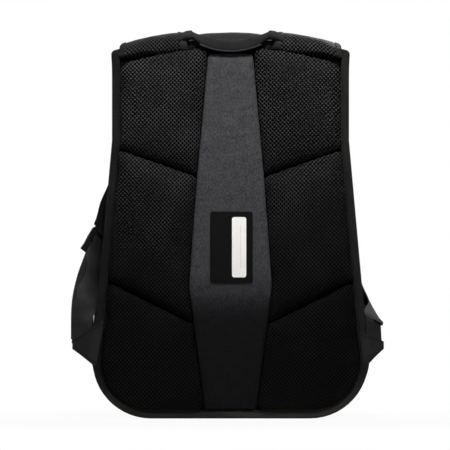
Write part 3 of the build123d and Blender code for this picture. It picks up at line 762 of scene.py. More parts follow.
def is_on_pad(level, x, z):
    """Whether a place on the border belongs to the upper, middle or lower pad."""
    above_upper = z >= crease_z("upper", x) + beside_crease
    below_lower = z <= crease_z("lower", x) - beside_crease
    between = crease_z("lower", x) + beside_crease < z < crease_z("upper", x) - beside_crease
    right_level = {"upper": above_upper, "middle": between, "lower": below_lower}[level]
    return right_level and x >= strip_half(z) + beside_strip


def pad_polygon(level):
    """The pad's corners on the right, walked round finely."""
    edge = pad_border()
    kept = [(x, z) for x, z in edge if is_on_pad(level, x, z)]

    def border_x(which, sign):
        """Where a crease, moved off by the gap, meets the pads' outer edge."""
        for (x0, z0), (x1, z1) in zip(edge, edge[1:]):
            before = z0 - crease_z(which, x0) - sign * beside_crease
            after = z1 - crease_z(which, x1) - sign * beside_crease
            if x0 > 60 * mm and before <= 0 < after:
                share = before / (before - after)
                return x0 + (x1 - x0) * share, z0 + (z1 - z0) * share
        return kept[-1]

    def along_strip(z_from, z_to, count=24):
        """Places beside the strip between two heights."""
        heights = [z_from + (z_to - z_from) * k / count for k in range(count + 1)]
        return [(strip_half(z) + beside_strip, z) for z in heights]

    def on_crease(which, sign, x_from, x_to, count=16):
        """Places beside a crease, above it if sign is 1 and below it if it is -1."""
        xs = [x_from + (x_to - x_from) * k / count for k in range(1, count)]
        return [(x, crease_z(which, x) + sign * beside_crease) for x in xs]

    def meet(which, sign):
        """The height at which a crease meets the strip, found by closing in on it."""
        z = crease_z(which, 40 * mm)
        for _ in range(6):
            z = crease_z(which, strip_half(z) + beside_strip) + sign * beside_crease
        return z

    if level == "lower":
        top = border_x("lower", -1)
        z_in = meet("lower", -1)
        inner = along_strip(z_in, kept[0][1])
        return kept + [top] + on_crease("lower", -1, top[0], inner[0][0]) + inner[:-1]
    if level == "middle":
        low, top = border_x("lower", 1), border_x("upper", -1)
        inner = along_strip(meet("upper", -1), meet("lower", 1))
        up = on_crease("upper", -1, top[0], inner[0][0])
        down = on_crease("lower", 1, inner[-1][0], low[0])
        return [low] + kept + [top] + up + inner + down
    low = border_x("upper", 1)
    z_in = meet("upper", 1)
    inner = along_strip(kept[-1][1], z_in)
    return [low] + kept + inner[1:] + on_crease("upper", 1, inner[-1][0], low[0])


pad_shapes = {level: pad_polygon(level) for level in ("upper", "middle", "lower")}
print("pad corners:", {level: len(shape) for level, shape in pad_shapes.items()})

# %% [markdown]
# The slab is remeshed into even quads first, because cloth stretches evenly only on an even mesh.
# Pressure pushes every face outwards, without gravity, and twenty frames are enough to settle.

# %% Make and inflate a slab
pad_back = -2.25 * mm
pad_thick = 13.5 * mm
pad_bevel = 6.0 * mm
pad_pressure = 4.0
pad_swell = 4.5 * mm
pad_mesh = 3.5 * mm
# How far in and how far up each ring of a slab lies, as shares of its bevel and thickness.
pad_profile = ((0.0, 0.0), (0.0, 0.1), (0.2, 0.32), (0.6, 0.55), (1.4, 0.75), (2.8, 0.91), (4.8, 1.0))


def even_copy(piece):
    """A new object with the shape that a piece's modifiers give it."""
    bpy.context.view_layer.update()
    shown = piece.evaluated_get(bpy.context.evaluated_depsgraph_get())
    mesh = bpy.data.meshes.new_from_object(shown)
    copy = bpy.data.objects.new(piece.name + "_even", mesh)
    scene.collection.objects.link(copy)
    return copy


def slab_of(shape):
    """A low slab over a polygon, with a sloping rim and a little crown."""
    outer = np.array(shape)
    inward = outer.mean(axis=0) - outer
    inward /= np.linalg.norm(inward, axis=1, keepdims=True)
    rings = []
    for shrink, level in pad_profile:
        loop = outer + inward * pad_bevel * shrink
        rings.append(at_depth(loop, pad_back - pad_thick * level))
    return tube("slab", np.stack(rings))


def inflate(slab):
    """Remeshes a slab, inflates it as cloth with its back pinned, and returns points and faces."""
    bpy.context.view_layer.objects.active = slab
    remesh = slab.modifiers.new("even", "REMESH")
    remesh.mode = "VOXEL"
    remesh.voxel_size = pad_mesh
    rest = even_copy(slab)
    start = np.array([v.co for v in rest.data.vertices])
    group = rest.vertex_groups.new(name="pinned")
    back = [v.index for v in rest.data.vertices if v.co.y > pad_back - 1.2 * mm]
    group.add(back, 1.0, "REPLACE")
    cloth = rest.modifiers.new("cloth", "CLOTH")
    setting = cloth.settings
    setting.use_pressure = True
    setting.uniform_pressure_force = pad_pressure
    setting.vertex_group_mass = "pinned"
    setting.tension_stiffness = setting.compression_stiffness = 12
    setting.bending_stiffness = 0.6
    setting.effector_weights.gravity = 0
    cloth.collision_settings.use_collision = False
    for step in range(1, 21):
        scene.frame_set(step)
    done = even_copy(rest)
    end = np.array([v.co for v in done.data.vertices])
    move = end - start
    far = np.linalg.norm(move, axis=1, keepdims=True)
    end = start + move * np.minimum(1, pad_swell / np.maximum(far, 1e-9))
    faces = [tuple(face.vertices) for face in done.data.polygons]
    for piece in (slab, rest, done):
        bpy.data.objects.remove(piece)
    scene.frame_set(1)
    return end, faces


print("rings in a slab:", len(pad_profile))

# %% [markdown]
# A remesh leaves ragged rims, so the points near a rim go back onto its exact outline. The left pads
# are mirror copies with their own small unevenness. Two wings of cloth at the lower corners turn
# back over the pads' rims when the straps swing back, so the rims stay low beside them.

# %% Finish the pads
pad_cap = 17.8 * mm
rim_reach = 1.5 * mm
# The wings' hinge line: where it is across the bag at a height, and how it leans inwards.
wing_hinge, hinge_height, wing_lean = 141.5 * mm, 78 * mm, 0.17


def trued(points, shape):
    """Puts the points near a pad's rim back on its outline, which the remesh left ragged."""
    corner = np.array(shape)
    span = np.roll(corner, -1, axis=0) - corner
    flat = points[:, [0, 2]]
    length = np.maximum((span**2).sum(axis=1), 1e-12)
    share = np.einsum("pjk,jk->pj", flat[:, None] - corner, span) / length
    nearest = corner + np.clip(share, 0, 1)[:, :, None] * span
    gap = np.linalg.norm(flat[:, None] - nearest, axis=2)
    spot = nearest[np.arange(len(flat)), gap.argmin(axis=1)]
    rim = gap.min(axis=1) < rim_reach
    points[np.ix_(rim, (0, 2))] = spot[rim]
    return points


def below_wing(points):
    """Keeps a pad's rim low beside the wing."""
    past_wing = np.maximum(0, np.maximum(50 * mm - points[:, 2], points[:, 2] - 110 * mm))
    hinge = wing_hinge - wing_lean * (points[:, 2] - hinge_height)
    roof = 3.2 * mm + 2.5 * (hinge - 4.8 * mm - np.abs(points[:, 0])) + past_wing
    points[:, 1] = np.maximum(points[:, 1], -np.maximum(roof, 3.0 * mm))
    return points


def make_pad(level, way, points, faces):
    """One pad under its mesh, on the right if way is 1 and on the left if it is -1."""
    points = trued(points.copy(), pad_shapes[level])
    points[:, 0] *= way
    front = np.clip((pad_back - points[:, 1]) / (10 * mm), 0, 1)
    points[:, 1] -= uneven(points, 45 * mm, 5 + way)[:] * front * 1.0 * mm
    points[:, 1] = np.clip(points[:, 1], -pad_cap, pad_back)
    points = below_wing(points)
    faces = [face[::-1] for face in faces] if way < 0 else faces
    name = f"pad_{level}_{'right' if way > 0 else 'left'}"
    pad = make_piece("soft_" + name, points, faces, points[:, [0, 2]])
    smooth = pad.modifiers.new("smooth", "SUBSURF")
    smooth.levels = smooth.render_levels = 1
    dress(pad, "bag", "spacer_mesh", replaces=[name])
    return pad


for level in pad_shapes:
    points, faces = inflate(slab_of(pad_shapes[level]))
    for way in (1, -1):
        make_pad(level, way, points, faces)
    print(level, "pad stands", round(-float(points[:, 1].min()) / mm, 1), "mm, points:", len(points))

# %% [markdown]
# ## The spine strip, its patch and its card
# The strip is firmer foam under a knit. Rounded rings stacked from its lower to its upper end make
# it, and their width follows the strip's sides. It dips a little at its widest place, just below
# the patch, where a used strip creases.

# %% Spine strip
spine_points = 40


def spine():
    """The strip as rounded rings, flat behind and full in front."""
    heights = np.concatenate([[10.2, 10.6, 12.0], np.linspace(16, 388, 94), [391.5, 393.2, 393.8]]) * mm
    rings = []
    for z in heights:
        ends = min(z - 9.6 * mm, 394.4 * mm - z) / (6 * mm)
        fullness = min(1.0, max(ends, 0.05)) ** 0.4
        half = (strip_half(z) + 0.1 * mm) * (0.965 + 0.035 * fullness)
        puff = 1.0 - 0.16 * np.exp(-(((z - 139 * mm) / (5 * mm)) ** 2))
        depth = 5.8 * mm * (0.35 + 0.65 * fullness) * puff
        ring = []
        for across, out in rounded_section(spine_points, 0.45, 0.42):
            ring.append((half * across, -2.1 * mm - depth * max(out, 0), z))
        rings.append(ring)
    rings = np.array(rings)
    front = np.clip((-rings[:, :, 1] - 4 * mm) / (3 * mm), 0, 1)
    # The strip stays even under the patch.
    away = np.clip((np.abs(rings[:, :, 2] - 185.2 * mm) - 36 * mm) / (20 * mm), 0, 1)
    rings[:, :, 1] += uneven(rings, 30 * mm, 9.0) * front * away * 0.6 * mm
    return tube("soft_spine_strip", rings)


strip = dress(spine(), "bag", "heather_knit", replaces=["spine_strip"])
print("strip rings:", len(strip.data.vertices) // spine_points)

# %% [markdown]
# The leather patch and the card keep their exact packed shape. Stitches round the rim sew the patch
# down. They follow a rounded rectangle, which the front pocket needs again later.

# %% Patch stitches
def rounded_loop(centre, size, radius, y, steps=8):
    """Points round a rounded rectangle that stands upright."""
    loop = []
    for k, (sx, sz) in enumerate(((1, -1), (1, 1), (-1, 1), (-1, -1))):
        for step in range(steps + 1):
            turn = -pi / 2 + (k + step / steps) * pi / 2
            x = centre[0] + sx * (size[0] / 2 - radius) + radius * cos(turn)
            z = centre[1] + sz * (size[1] / 2 - radius) + radius * sin(turn)
            loop.append((x, y, z))
    return loop + loop[:1]


patch_low, patch_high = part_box("name_patch")
middle = ((patch_low.x + patch_high.x) / 2, (patch_low.z + patch_high.z) / 2)
size = (patch_high.x - patch_low.x - 4 * mm, patch_high.z - patch_low.z - 4 * mm)
seam = rounded_loop(middle, size, 1.2 * mm, patch_low.y - 0.05 * mm)
seam_out = np.tile((0, -1, 0), (len(seam), 1))
rim = thread_dashes("patch_stitches", seam, seam_out, 3.1 * mm, 2.1 * mm, 0.32 * mm)
dress(rim, "bag", "leather_patch", thread_black)
print("patch stitched")

# %% [markdown]
# ## Sewn walls
# Each wall follows the outline through the depth of the bag. It is swollen a little between its
# seams, because cloth over a full bag is, and the swelling fades out at every seam so that
# neighbours still meet. Modelling each wall as its own sheet keeps the seams where a tailor has them.

# %% Wall sheets
# Each section is a depth, an inset, a base height and a lift of the top, in millimetres.
main_sections = [(3.2, 8, 0, 2), (40, 6, 0, 9), (52, 6, 0, 9), (100, 9, 0, -1)]
racket_sections = [(101.6, 9, 0, -1), (111.6, 12, 1, -8), (123.6, 12, 1, -8), (133.6, 17, 4, -16)]
pocket_sections = [
    (34, 5.7, 3, 0), (34.8, -0.6, 3, 0), (38, -1.5, 3, 0),
    (84, -1.5, 3, 0), (87.2, -0.6, 3, 0), (88, 7.6, 3, 0),
]


def wall_row(sections, y, z_from, z_to, count, way):
    """Points along a wall at one depth, clockwise as seen from the padded back."""
    depths, *sizes = zip(*sections)
    inset, base, lift = (np.interp(y, depths, size) * mm for size in sizes)
    right = outline(inset, base, lift, top_round=26 * mm)[: top_index + 1]
    reached = np.concatenate([[0], np.cumsum(np.hypot(*np.diff(right, axis=0).T))])
    climb = right[:, 1] + np.arange(len(right)) * 1e-9
    start = 0.0 if z_from is None else np.interp(z_from * mm, climb, reached)
    end = reached[-1] if z_to is None else np.interp(z_to * mm, climb, reached)
    s = np.linspace(start, end, count)
    flat = np.stack([np.interp(s, reached, right[:, 0]), np.interp(s, reached, right[:, 1])], axis=1)
    half = at_depth(flat, y * mm)
    other = half * (-1, 1, 1)
    if way == "right":
        return half[::-1]
    if way == "left":
        return other
    if way == "over":
        return np.concatenate([other, half[::-1][1:]])
    return np.concatenate([half[::-1], other[1:]])


def wall(
    name, node, sections, depths, heights, way, count, bulge, seed,
    slot="shell_fabric", thick=1.4, crest=0.0, seam=None,
):
    """One sewn wall between two depths and two heights."""
    grid = np.stack([wall_row(sections, y, *heights, count, way) for y in depths])
    rows, cols = grid.shape[:2]
    t = np.linspace(0, 1, rows)[:, None]
    s = np.linspace(0, 1, cols)[None, :]
    fade = np.clip(np.minimum(s, 1 - s) * 14, 0, 1) ** 0.5
    swell = np.sin(pi * t) ** 0.8 * fade
    lumps = 1 + 0.9 * uneven(grid, 55 * mm, seed) + 0.35 * uneven(grid, 18 * mm, seed + 3)
    dome = np.exp(-((grid[:, :, 0] / (50 * mm)) ** 6)) * (grid[:, :, 2] > 380 * mm) * swell * crest
    grid = grid + normals_of(grid) * ((swell * lumps * bulge + dome) * mm)[:, :, None]
    grid[:, :, 2] = np.maximum(grid[:, :, 2], 0.2 * mm)
    sewn = dress(cloth_sheet(name, grid, thick * mm), "bag", slot, replaces=[node])


print("wall sections:", len(main_sections) + len(racket_sections) + len(pocket_sections))

# %% [markdown]
# The base runs under the bag, the sides climb to the zips, and the gussets run over the top on both
# sides of the main zip. The one at the handle has a crest, since the handle pulls it up. The racket
# compartment has a low wall and two gussets, and each side pocket is a wider wall over a side.

# %% Sew the walls
side_rise = (68.2, 197.8)
side_depths = np.linspace(3.2, 99.6, 26)
wall("soft_base", "base_panel", main_sections, side_depths, (None, 68), "under", 46, 0.5, 1)
for seed, way in ((2, "right"), (3, "left")):
    wall("soft_side_" + way, "side_panel_" + way, main_sections, side_depths, side_rise, way, 40, 2.0, seed)
gussets = [
    ("soft_gusset_back", "zip_gusset_back", (3.2, 39.8, 14), 1.4, 4, 7.6),
    ("soft_gusset_front", "zip_gusset_front", (52.2, 99.6, 16), 3.0, 5, 0.0),
]
for name, node, span, bulge, seed, crest in gussets:
    wall(name, node, main_sections, np.linspace(*span), (198.2, None), "over", 90, bulge, seed, crest=crest)
racket_walls = [
    ("soft_racket_low", (101.8, 133.4, 14), (None, 199.8), "under", 110, 1.5, 6, "soft_base"),
    ("soft_racket_back", (101.8, 111.4, 6), (200, None), "over", 90, 0.6, 7, "soft_gusset_front"),
    ("soft_racket_front", (123.8, 133.4, 6), (200, None), "over", 90, 0.8, 8, "soft_racket_low"),
]
for name, span, *place, seam in racket_walls:
    wall(name, "racket_gusset", racket_sections, np.linspace(*span), *place, seam=seam)
pocket_depths = np.concatenate([[34, 34.4, 34.8, 36], np.linspace(38, 84, 22), [86, 87.2, 87.6, 88]])
for way in ("right", "left"):
    name = "side_pocket_" + way
    wall(
        "soft_" + name, name, pocket_sections, pocket_depths, (12.6, 121), way, 40, 1.2, 9,
        slot="pocket_mesh", thick=1.2, seam="soft_side_" + way,
    )
print("walls sewn")

# %% [markdown]
# The mouth of a side pocket is a tunnel with elastic in it, so its cloth is gathered into small even
# folds. A sine wave along the hem gives them, since real elastic gathers just as regularly.

# %% Elastic hems
hem_sections = [(0, -2.0, 3, 0), (100, -2.0, 3, 0)]
fold_pitch = 3.4


def hem(way):
    """The gathered hem of one side pocket."""
    depths = np.linspace(35.5, 86.5, 103)
    grid = np.stack([wall_row(hem_sections, y, 111.8, 122.1, 7, way) for y in depths])
    across = np.sin(np.linspace(0.35, pi - 0.35, 7))
    folds = np.sin(depths * 2 * pi / fold_pitch)[:, None] * across[None, :]
    grid = grid + normals_of(grid) * (folds * 0.45 * mm)[:, :, None]
    name = f"pocket_hem_{way}"
    gathered = dress(cloth_sheet("soft_" + name, grid, 1.3 * mm), "bag", "webbing", replaces=[name])


hem("right")
hem("left")
print("folds in a hem:", round(51 / fold_pitch))

# %% [markdown]
# Round cords cover the seams where two walls meet: a ring of points is carried along each seam. A
# curve with a round bevel would look the same, but its surface would have no place on the cloth.

# %% Seam cords
def round_rings(path, radius, closed=False):
    """Rings of eight points along a cord's path."""
    path = np.asarray(path)
    if closed:
        ahead = np.roll(path, -1, axis=0) - np.roll(path, 1, axis=0)
    else:
        ahead = np.gradient(path, axis=0)
    ahead /= np.linalg.norm(ahead, axis=1, keepdims=True)
    side = np.cross(ahead, (0.0, 1.0, 0.0))
    side /= np.maximum(np.linalg.norm(side, axis=1, keepdims=True), 1e-9)
    other = np.cross(ahead, side)
    turns = (np.arange(8) * 2 * pi / 8)[None, :, None]
    reach = side[:, None, :] * np.cos(turns) + other[:, None, :] * np.sin(turns)
    return path[:, None, :] + radius * reach


# Each cord has the inset, base height, lift and depth of its seam, in millimetres.
seams = [("rear_seam_cord", 9.0, 1.6, -1, 100.7), ("front_seam_cord", 17.0, 4.2, -16, 133.9)]
for name, inset, base, lift, y in seams:
    loop = outline(inset * mm, base * mm, lift * mm, top_round=26 * mm)
    cord = tube(name, round_rings(at_depth(loop, y * mm), 1.3 * mm, closed=True), closed=True)
    dress(cord, "bag", "edge_tape")
print("seam cords:", len(seams))

# %% [markdown]
# ## The far side: racket face and front pocket
# The racket face and the pocket are shallow pillows. Rings that shrink towards their middle make
# them, and a relief raises their middle. The racket face is full only above the pocket.

# %% Racket face
def pillow(name, rims, relief, steps):
    """A closed pillow: rims are loops from its back to its front face, then rings to its middle."""
    first, last = rims[0], rims[-1]
    inner = [first.mean(axis=0) + (first - first.mean(axis=0)) * t for t in np.linspace(0.02, 0.98, 8)]
    outer = []
    for t in np.linspace(1, 0.02, steps)[1:]:
        ring = last.mean(axis=0) + (last - last.mean(axis=0)) * t
        ring[:, 1] += relief(ring[:, 0] / mm, ring[:, 2] / mm, t) * mm
        outer.append(ring)
    return tube(name, np.stack(inner + list(rims) + outer))


def face_relief(x, z, t):
    """How far the racket face stands out, in millimetres; t is 1 at the rim and 0 in the middle."""
    above = np.clip((z - 196) / 60, 0, 1)
    swell = above * (1 - t**4) * 3.2 * np.clip((372 - z) / 60, 0, 1) ** 0.5
    return swell + 0.5 * np.sin(z / 23 + x / 31) * above * (1 - t**6)


face_loop = outline(17 * mm, 4 * mm, -16 * mm, top_round=26 * mm)
small_loop = outline(17.8 * mm, 4.8 * mm, -16 * mm, top_round=25 * mm)
rims = [at_depth(face_loop, depth * mm) for depth in (133.7, 134.6)]
rims.append(at_depth(small_loop, 135.15 * mm))
face = pillow("soft_racket_face", rims, face_relief, 34)
dress(face, "bag", "shell_fabric", replaces=["racket_front"])
print("racket face points:", len(face.data.vertices))

# %% [markdown]
# The front pocket rounds over from the racket face to its own front. All its rims have the same
# number of points, because rings can be joined only point to point, so they are scaled copies of
# one rim. A few slow waves loosen its front, but it stays flat beside its zip.

# %% Front pocket
pocket_middle = (0.0, 101 * mm)
zip_level = 160
# Each rim is drawn in and stands out by these measures, in millimetres.
pocket_profile = [
    (0, 135.3), (0, 139), (-0.4, 144), (-0.2, 149),
    (0.6, 153.4), (2.4, 156.8), (5.2, 158.8), (8.0, 159.3),
]


def pocket_rim():
    """The pocket's outline at depth zero, with points at most nine millimetres apart."""
    size = (184 * mm, 178 * mm)
    loop = np.array(rounded_loop(pocket_middle, size, 24 * mm, 0.0, 7)[:-1])
    points = []
    for here, there in zip(loop, np.roll(loop, -1, axis=0)):
        count = max(1, round(np.linalg.norm(there - here) / (9 * mm)))
        points += [here + (there - here) * k / count for k in range(count)]
    return np.array(points)


def even_loops(profile):
    """Pocket rims with the same number of points."""
    centre = np.array((pocket_middle[0], 0, pocket_middle[1]))
    away = pocket_rim() - centre
    loops = []
    for inward, y in profile:
        loop = centre + away * (1 - inward * mm / np.array((92 * mm, 1, 89 * mm)))
        loop[:, 1] = y * mm
        loops.append(loop)
    return loops


def pocket_relief(x, z, t):
    """How far the pocket stands out, in millimetres; t is 1 at the rim and 0 in the middle."""
    near_zip = np.clip((np.abs(z - zip_level) - 7) / 16, 0, 1)
    below = np.clip((153 - z) / 30, 0, 1)
    folds = 0.6 * np.sin(x / 17 + z / 29) * np.sin(z / 13)
    return (1 - t**3) * near_zip * (2.2 + 1.8 * below + folds)


pouch = pillow("pouch", even_loops(pocket_profile), pocket_relief, 44)
print("pocket points:", len(pouch.data.vertices))

# %% [markdown]
# The pocket's zip lies in a slot. A boolean cuts it: a box is taken away from the pocket. A cord
# covers the pocket's rim, and a row of stitches runs above and below the zip.

# %% Zip slot and its stitches
bpy.ops.mesh.primitive_cube_add(size=1, location=(0, 164.7 * mm, zip_level * mm))
cutter = bpy.context.object
cutter.scale = (150.6 * mm, 14 * mm, 11.6 * mm)
cut = pouch.modifiers.new("slot", "BOOLEAN")
cut.operation = "DIFFERENCE"
cut.solver = "EXACT"
cut.object = cutter
pocket = even_copy(pouch)
pocket.name = "soft_front_pocket"
bpy.data.objects.remove(pouch)
bpy.data.objects.remove(cutter)
dress(pocket, "bag", "shell_fabric", replaces=["front_pocket"])

bead = even_loops([(1.6, 155.6)])[0]
dress(tube("pocket_cord", round_rings(bead, 1.2 * mm, closed=True), closed=True), "bag", "edge_tape")
for k, level in enumerate((152.0, 168.0)):
    path = [(x * mm, 159.6 * mm, level * mm) for x in np.linspace(-76, 76, 39)]
    facing = np.tile((0, 1, 0), (len(path), 1))
    row = thread_dashes(f"pocket_zip_stitches_{k + 1}", path, facing, 3.4 * mm, 2.2 * mm, 0.34 * mm)
    dress(row, "bag", "shell_fabric", thread_black)
print("far side ready")

# %% [markdown]
# ## Grab handle
# The handle is a strip of cloth, rolled at its two ends and flat in between, with a paler cord along
# its lower edge. It sags in an arc between two sewn stubs, and turns about the line through them.

# %% Handle band
pivot_depth, pivot_height = -7.5, 414
handle_places = [np.linspace(-43.8, -36, 7), np.linspace(-33, 33, 27), np.linspace(36, 43.8, 7)]


def handle_arc(x):
    """Height of the handle's middle line, in millimetres."""
    return pivot_height - 11.5 * max(0.0, 1 - (x / 42.0) ** 2)


def handle_band():
    """The band, whose section turns from a roll at its ends into a flat strip."""
    rings = []
    for x in np.concatenate(handle_places):
        roll = float(np.clip((abs(x) - 24) / 16, 0, 1))
        roll = roll * roll * (3 - 2 * roll)
        tall = 5.4 * (1 - roll) + 4.1 * roll
        thick = 2.0 * (1 - roll) + 3.9 * roll
        y = (pivot_depth - 4.2) * (1 - roll) + pivot_depth * roll
        z = handle_arc(x)
        slope = atan2(handle_arc(x + 0.5) - handle_arc(x - 0.5), 1.0) * (1 - roll * 0.8)
        shut = 0.86 if abs(x) > 43.5 else 1.0
        power = 0.55 + 0.45 * roll
        ring = []
        for across, up in rounded_section(20, power, power):
            across, up = thick * across * shut, tall * up * shut
            ring.append(((x - up * sin(slope)) * mm, (y + across) * mm, (z + up * cos(slope)) * mm))
        rings.append(ring)
    rings = np.array(rings)
    rings[:, :, 1] += uneven(rings, 12 * mm, 21) * 0.35 * mm
    return tube("soft_handle_band", rings)


dress(handle_band(), "handle", "handle_fabric", replaces=["handle_band"])
path = [(x * mm, -12.2 * mm, (handle_arc(x) - 5.9) * mm) for x in np.linspace(-33, 33, 45)]
piping = tube("soft_handle_piping", round_rings(path, 1.25 * mm))
piping_cloth = finish("piping", ribbed(1.2 * mm, True, 0.016, 0.034), 0.6, specular=0.12)
dress(piping, "handle", "handle_fabric", piping_cloth, replaces=["handle_piping"])
print("handle sags by", pivot_height - handle_arc(0), "mm")

# %% [markdown]
# Each stub is a roll of the same cloth. Its end is a shallow cup that the band turns in, and a lug
# behind it is sewn into the top seam.

# %% Handle stubs
# Each ring of a stub has a place and a radius, in millimetres; the first ones line its cup.
stub_profile = [
    (44.2, -7.5, 414, 1.0), (44.2, -7.5, 414, 4.35), (41.6, -7.5, 414, 4.35), (41.2, -7.5, 414, 4.6),
    (41.6, -7.5, 414, 4.9), (44.4, -7.5, 414, 5.0), (48, -7.2, 413.6, 4.9), (51.5, -6.2, 412.2, 4.6),
    (55, -4.8, 410.4, 3.9), (59, -4.2, 408.8, 2.6),
]
# Each ring of a lug has a depth, a lower and an upper height, in millimetres.
lug_levels = [(-6.6, 409.5, 415.5), (-2, 408.6, 416.4), (3, 407.4, 416.6), (8, 405.5, 414.5)]


def handle_stub(way):
    """A rolled stub that runs from the handle's pivot back and down into the top seam."""
    rings = []
    for x, y, z, r in stub_profile:
        circle = rounded_section(18)
        rings.append([(way * x * mm, (y + r * c) * mm, (z + r * s) * mm) for c, s in circle])
    side = "left" if way < 0 else "right"
    name = f"handle_anchor_{side}"
    stub = tube("soft_" + name, np.array(rings))
    lug_rings = []
    for y, low, high in lug_levels:
        middle = (low + high) / 2
        corners = [(45, low), (51, low), (52.4, middle), (51, high), (45, high), (44.4, middle)]
        lug_rings.append([(way * x * mm, y * mm, z * mm) for x, z in corners])
    lug = tube(f"handle_lug_{side}", np.array(lug_rings))
    dress(stub, "bag", "handle_fabric", replaces=[name])
    dress(lug, "bag", "handle_fabric")


handle_stub(-1)
handle_stub(1)
print("handle stubs ready")

# %% [markdown]
# ## Shoulder straps
# The straps are thrown over the top and hang down the far side. Each one is a foam pad under mesh,
# backed and edged with plain cloth.

# %% Routes
# A station of a route is a place in millimetres, the direction across the strap, and its width.
over_the_top = [
    ((84, 26, 409.6), (0.985, 0, -0.17), 70), ((85, 60, 410.2), (0.985, 0, -0.17), 70),
    ((86, 98, 406), (0.985, 0, -0.15), 70), ((89, 130, 391), (0.99, 0, -0.1), 69),
    ((91, 147, 361), (1, 0, 0), 68), ((94, 149, 318), (1, 0, 0), 66),
]
seam_start = [
    ((84, -3.4, 395), (0.985, 0, -0.17), 71), ((84, -4.2, 400.5), (0.985, 0, -0.17), 73),
    ((84, -2.0, 405.5), (0.985, 0, -0.17), 74), ((84, 4, 408.8), (0.985, 0, -0.17), 73),
    ((84, 14, 409.6), (0.985, 0, -0.17), 72),
]
routes = {
    "left": {
        "drape": [
            ((96, 152, 276), (0.99, -0.05, 0.1), 64), ((104, 153, 246), (0.96, -0.12, 0.22), 62),
            ((121.5, 149, 217), (0.86, -0.25, 0.44), 54),
        ],
        "lock": ((142, 128, 187), (0.40, -0.55, -0.73), (0.714, -0.249, 0.655)),
        "run": [
            ((150.5, 88, 147), (0.66, -0.45, 0.5)), ((155.5, 54, 134), (0.85, -0.1, 0.3)),
            ((156, 20, 120), (0.88, 0.4, 0.1)),
        ],
        "tail": [
            ((157, 111, 148), (0.8, -0.3, 0.4)), ((161.5, 104, 122), (0.95, -0.2, 0.2)),
            ((162, 100, 84), (1, -0.1, 0)),
        ],
        "turn": 1, "fold": 30.0, "tip": 171.0, "high": 107.0, "way": -1,
    },
    "right": {
        "drape": [((98, 151, 270), (1, 0, 0.05), 60), ((104, 152, 232), (0.98, 0, 0.15), 50)],
        "lock": ((115, 152.5, 184), (0.25, 0, -0.97), (0.97, 0, 0.25)),
        "run": [
            ((133, 131, 149), (0.35, -0.75, 0.55)), ((142.5, 86, 132), (0.2, -0.75, 0.6)),
            ((156, 42, 116), (-0.2, -0.93, 0.3)),
        ],
        "tail": [((125, 152, 135), (0.97, 0, 0.2)), ((128, 151, 95), (1, 0, 0))],
        "turn": -1, "fold": 55.0, "tip": 166.0, "high": 94.0, "way": 1,
    },
}
lock_half, lock_bar, layer_gap = 14.0, 5.0, 0.3
tab_end, web_out = 23.0, 19.0
tail_level, load_level = -3.0, -4.7
print("stations over the top:", len(seam_start) + len(over_the_top))

# %% [markdown]
# A strap is a section swept along its route. A smooth curve is drawn through the stations, and at
# each point of it two directions are kept: across the strap and out of it. They stop the strap from
# twisting where it turns, which a plain curve object with a bevel would do.

# %% Sweep along a route
def frames_along(points, steps, start=None, end=None):
    """Smooth stations on a route: centre, width direction, direction back up the route, width."""
    last = len(points) - 1
    table = np.array([list(p[0]) + list(p[1]) + [p[2]] for p in points], float)
    rows = []
    for i in range(last):
        knots = table[[max(i - 1, 0), i, i + 1, min(i + 2, last)]]
        spans = np.linalg.norm(np.diff(knots[:, :3], axis=0), axis=1)
        lead, trail = spans[1] / (spans[0] + spans[1]), spans[1] / (spans[1] + spans[2])
        for t in np.arange(steps) / steps:
            rise, fall, ease = t - 2 * t**2 + t**3, t**3 - t**2, 3 * t**2 - 2 * t**3
            share = (-rise * lead, 1 - ease - fall * trail, ease + rise * lead, fall * trail)
            rows.append(np.dot(share, knots))
    rows = np.array(rows + [table[-1]])
    along = -np.gradient(rows[:, :3], axis=0)
    if start is not None:
        along[0] = -np.array(start)
    if end is not None:
        along[-1] = -np.array(end)
    along /= np.linalg.norm(along, axis=1, keepdims=True)
    across = rows[:, 3:6] - along * np.sum(rows[:, 3:6] * along, axis=1, keepdims=True)
    across /= np.linalg.norm(across, axis=1, keepdims=True)
    return rows[:, :3], across, np.cross(along, across), rows[:, 6]


def sweep(frames, section):
    """Rings of a section along stations: section(width, share) gives places across and out."""
    centres, across, out, widths = frames
    rings = []
    for i in range(len(centres)):
        places = np.array(section(widths[i], i / (len(centres) - 1)))
        rings.append(centres[i] + across[i] * places[:, :1] + out[i] * places[:, 1:])
    return np.array(rings) * mm


def lock_frame(route):
    """Where a strap's ladder lock is, and its directions along, across and out."""
    centre, along, across = (np.array(v, float) for v in route["lock"])
    along /= np.linalg.norm(along)
    across -= along * across.dot(along)
    across /= np.linalg.norm(across)
    return centre, along, across, np.cross(-along, across)


print("the left lock faces", np.round(lock_frame(routes["left"])[3], 2))

# %% [markdown]
# The soft part of a strap is a long pad under mesh. A thin backing of plain cloth lies under it and
# wraps both of its edges. Both are swept along the same route.

# %% Strap pads
def strap_thickness(share):
    """Half the pad's thickness in millimetres, less at both ends of the strap."""
    return 3.9 * min(1.0, 0.55 + share * 12, 0.5 + (1 - share) * 9)


def strap_section(width, share):
    """A soft pad's section, thinner at its bound edges and at its two ends."""
    places = []
    half, thick = width / 2 - 0.6, strap_thickness(share)
    for across, out in rounded_section(32, 0.5, 0.45):
        rim = 1 - 0.42 * (abs(half * across) / half) ** 8
        places.append((half * across, thick * rim * out))
    return places


def mirrored(side):
    """The same places at the other edge, in the opposite order."""
    return [(-x, out) for x, out in reversed(side)]


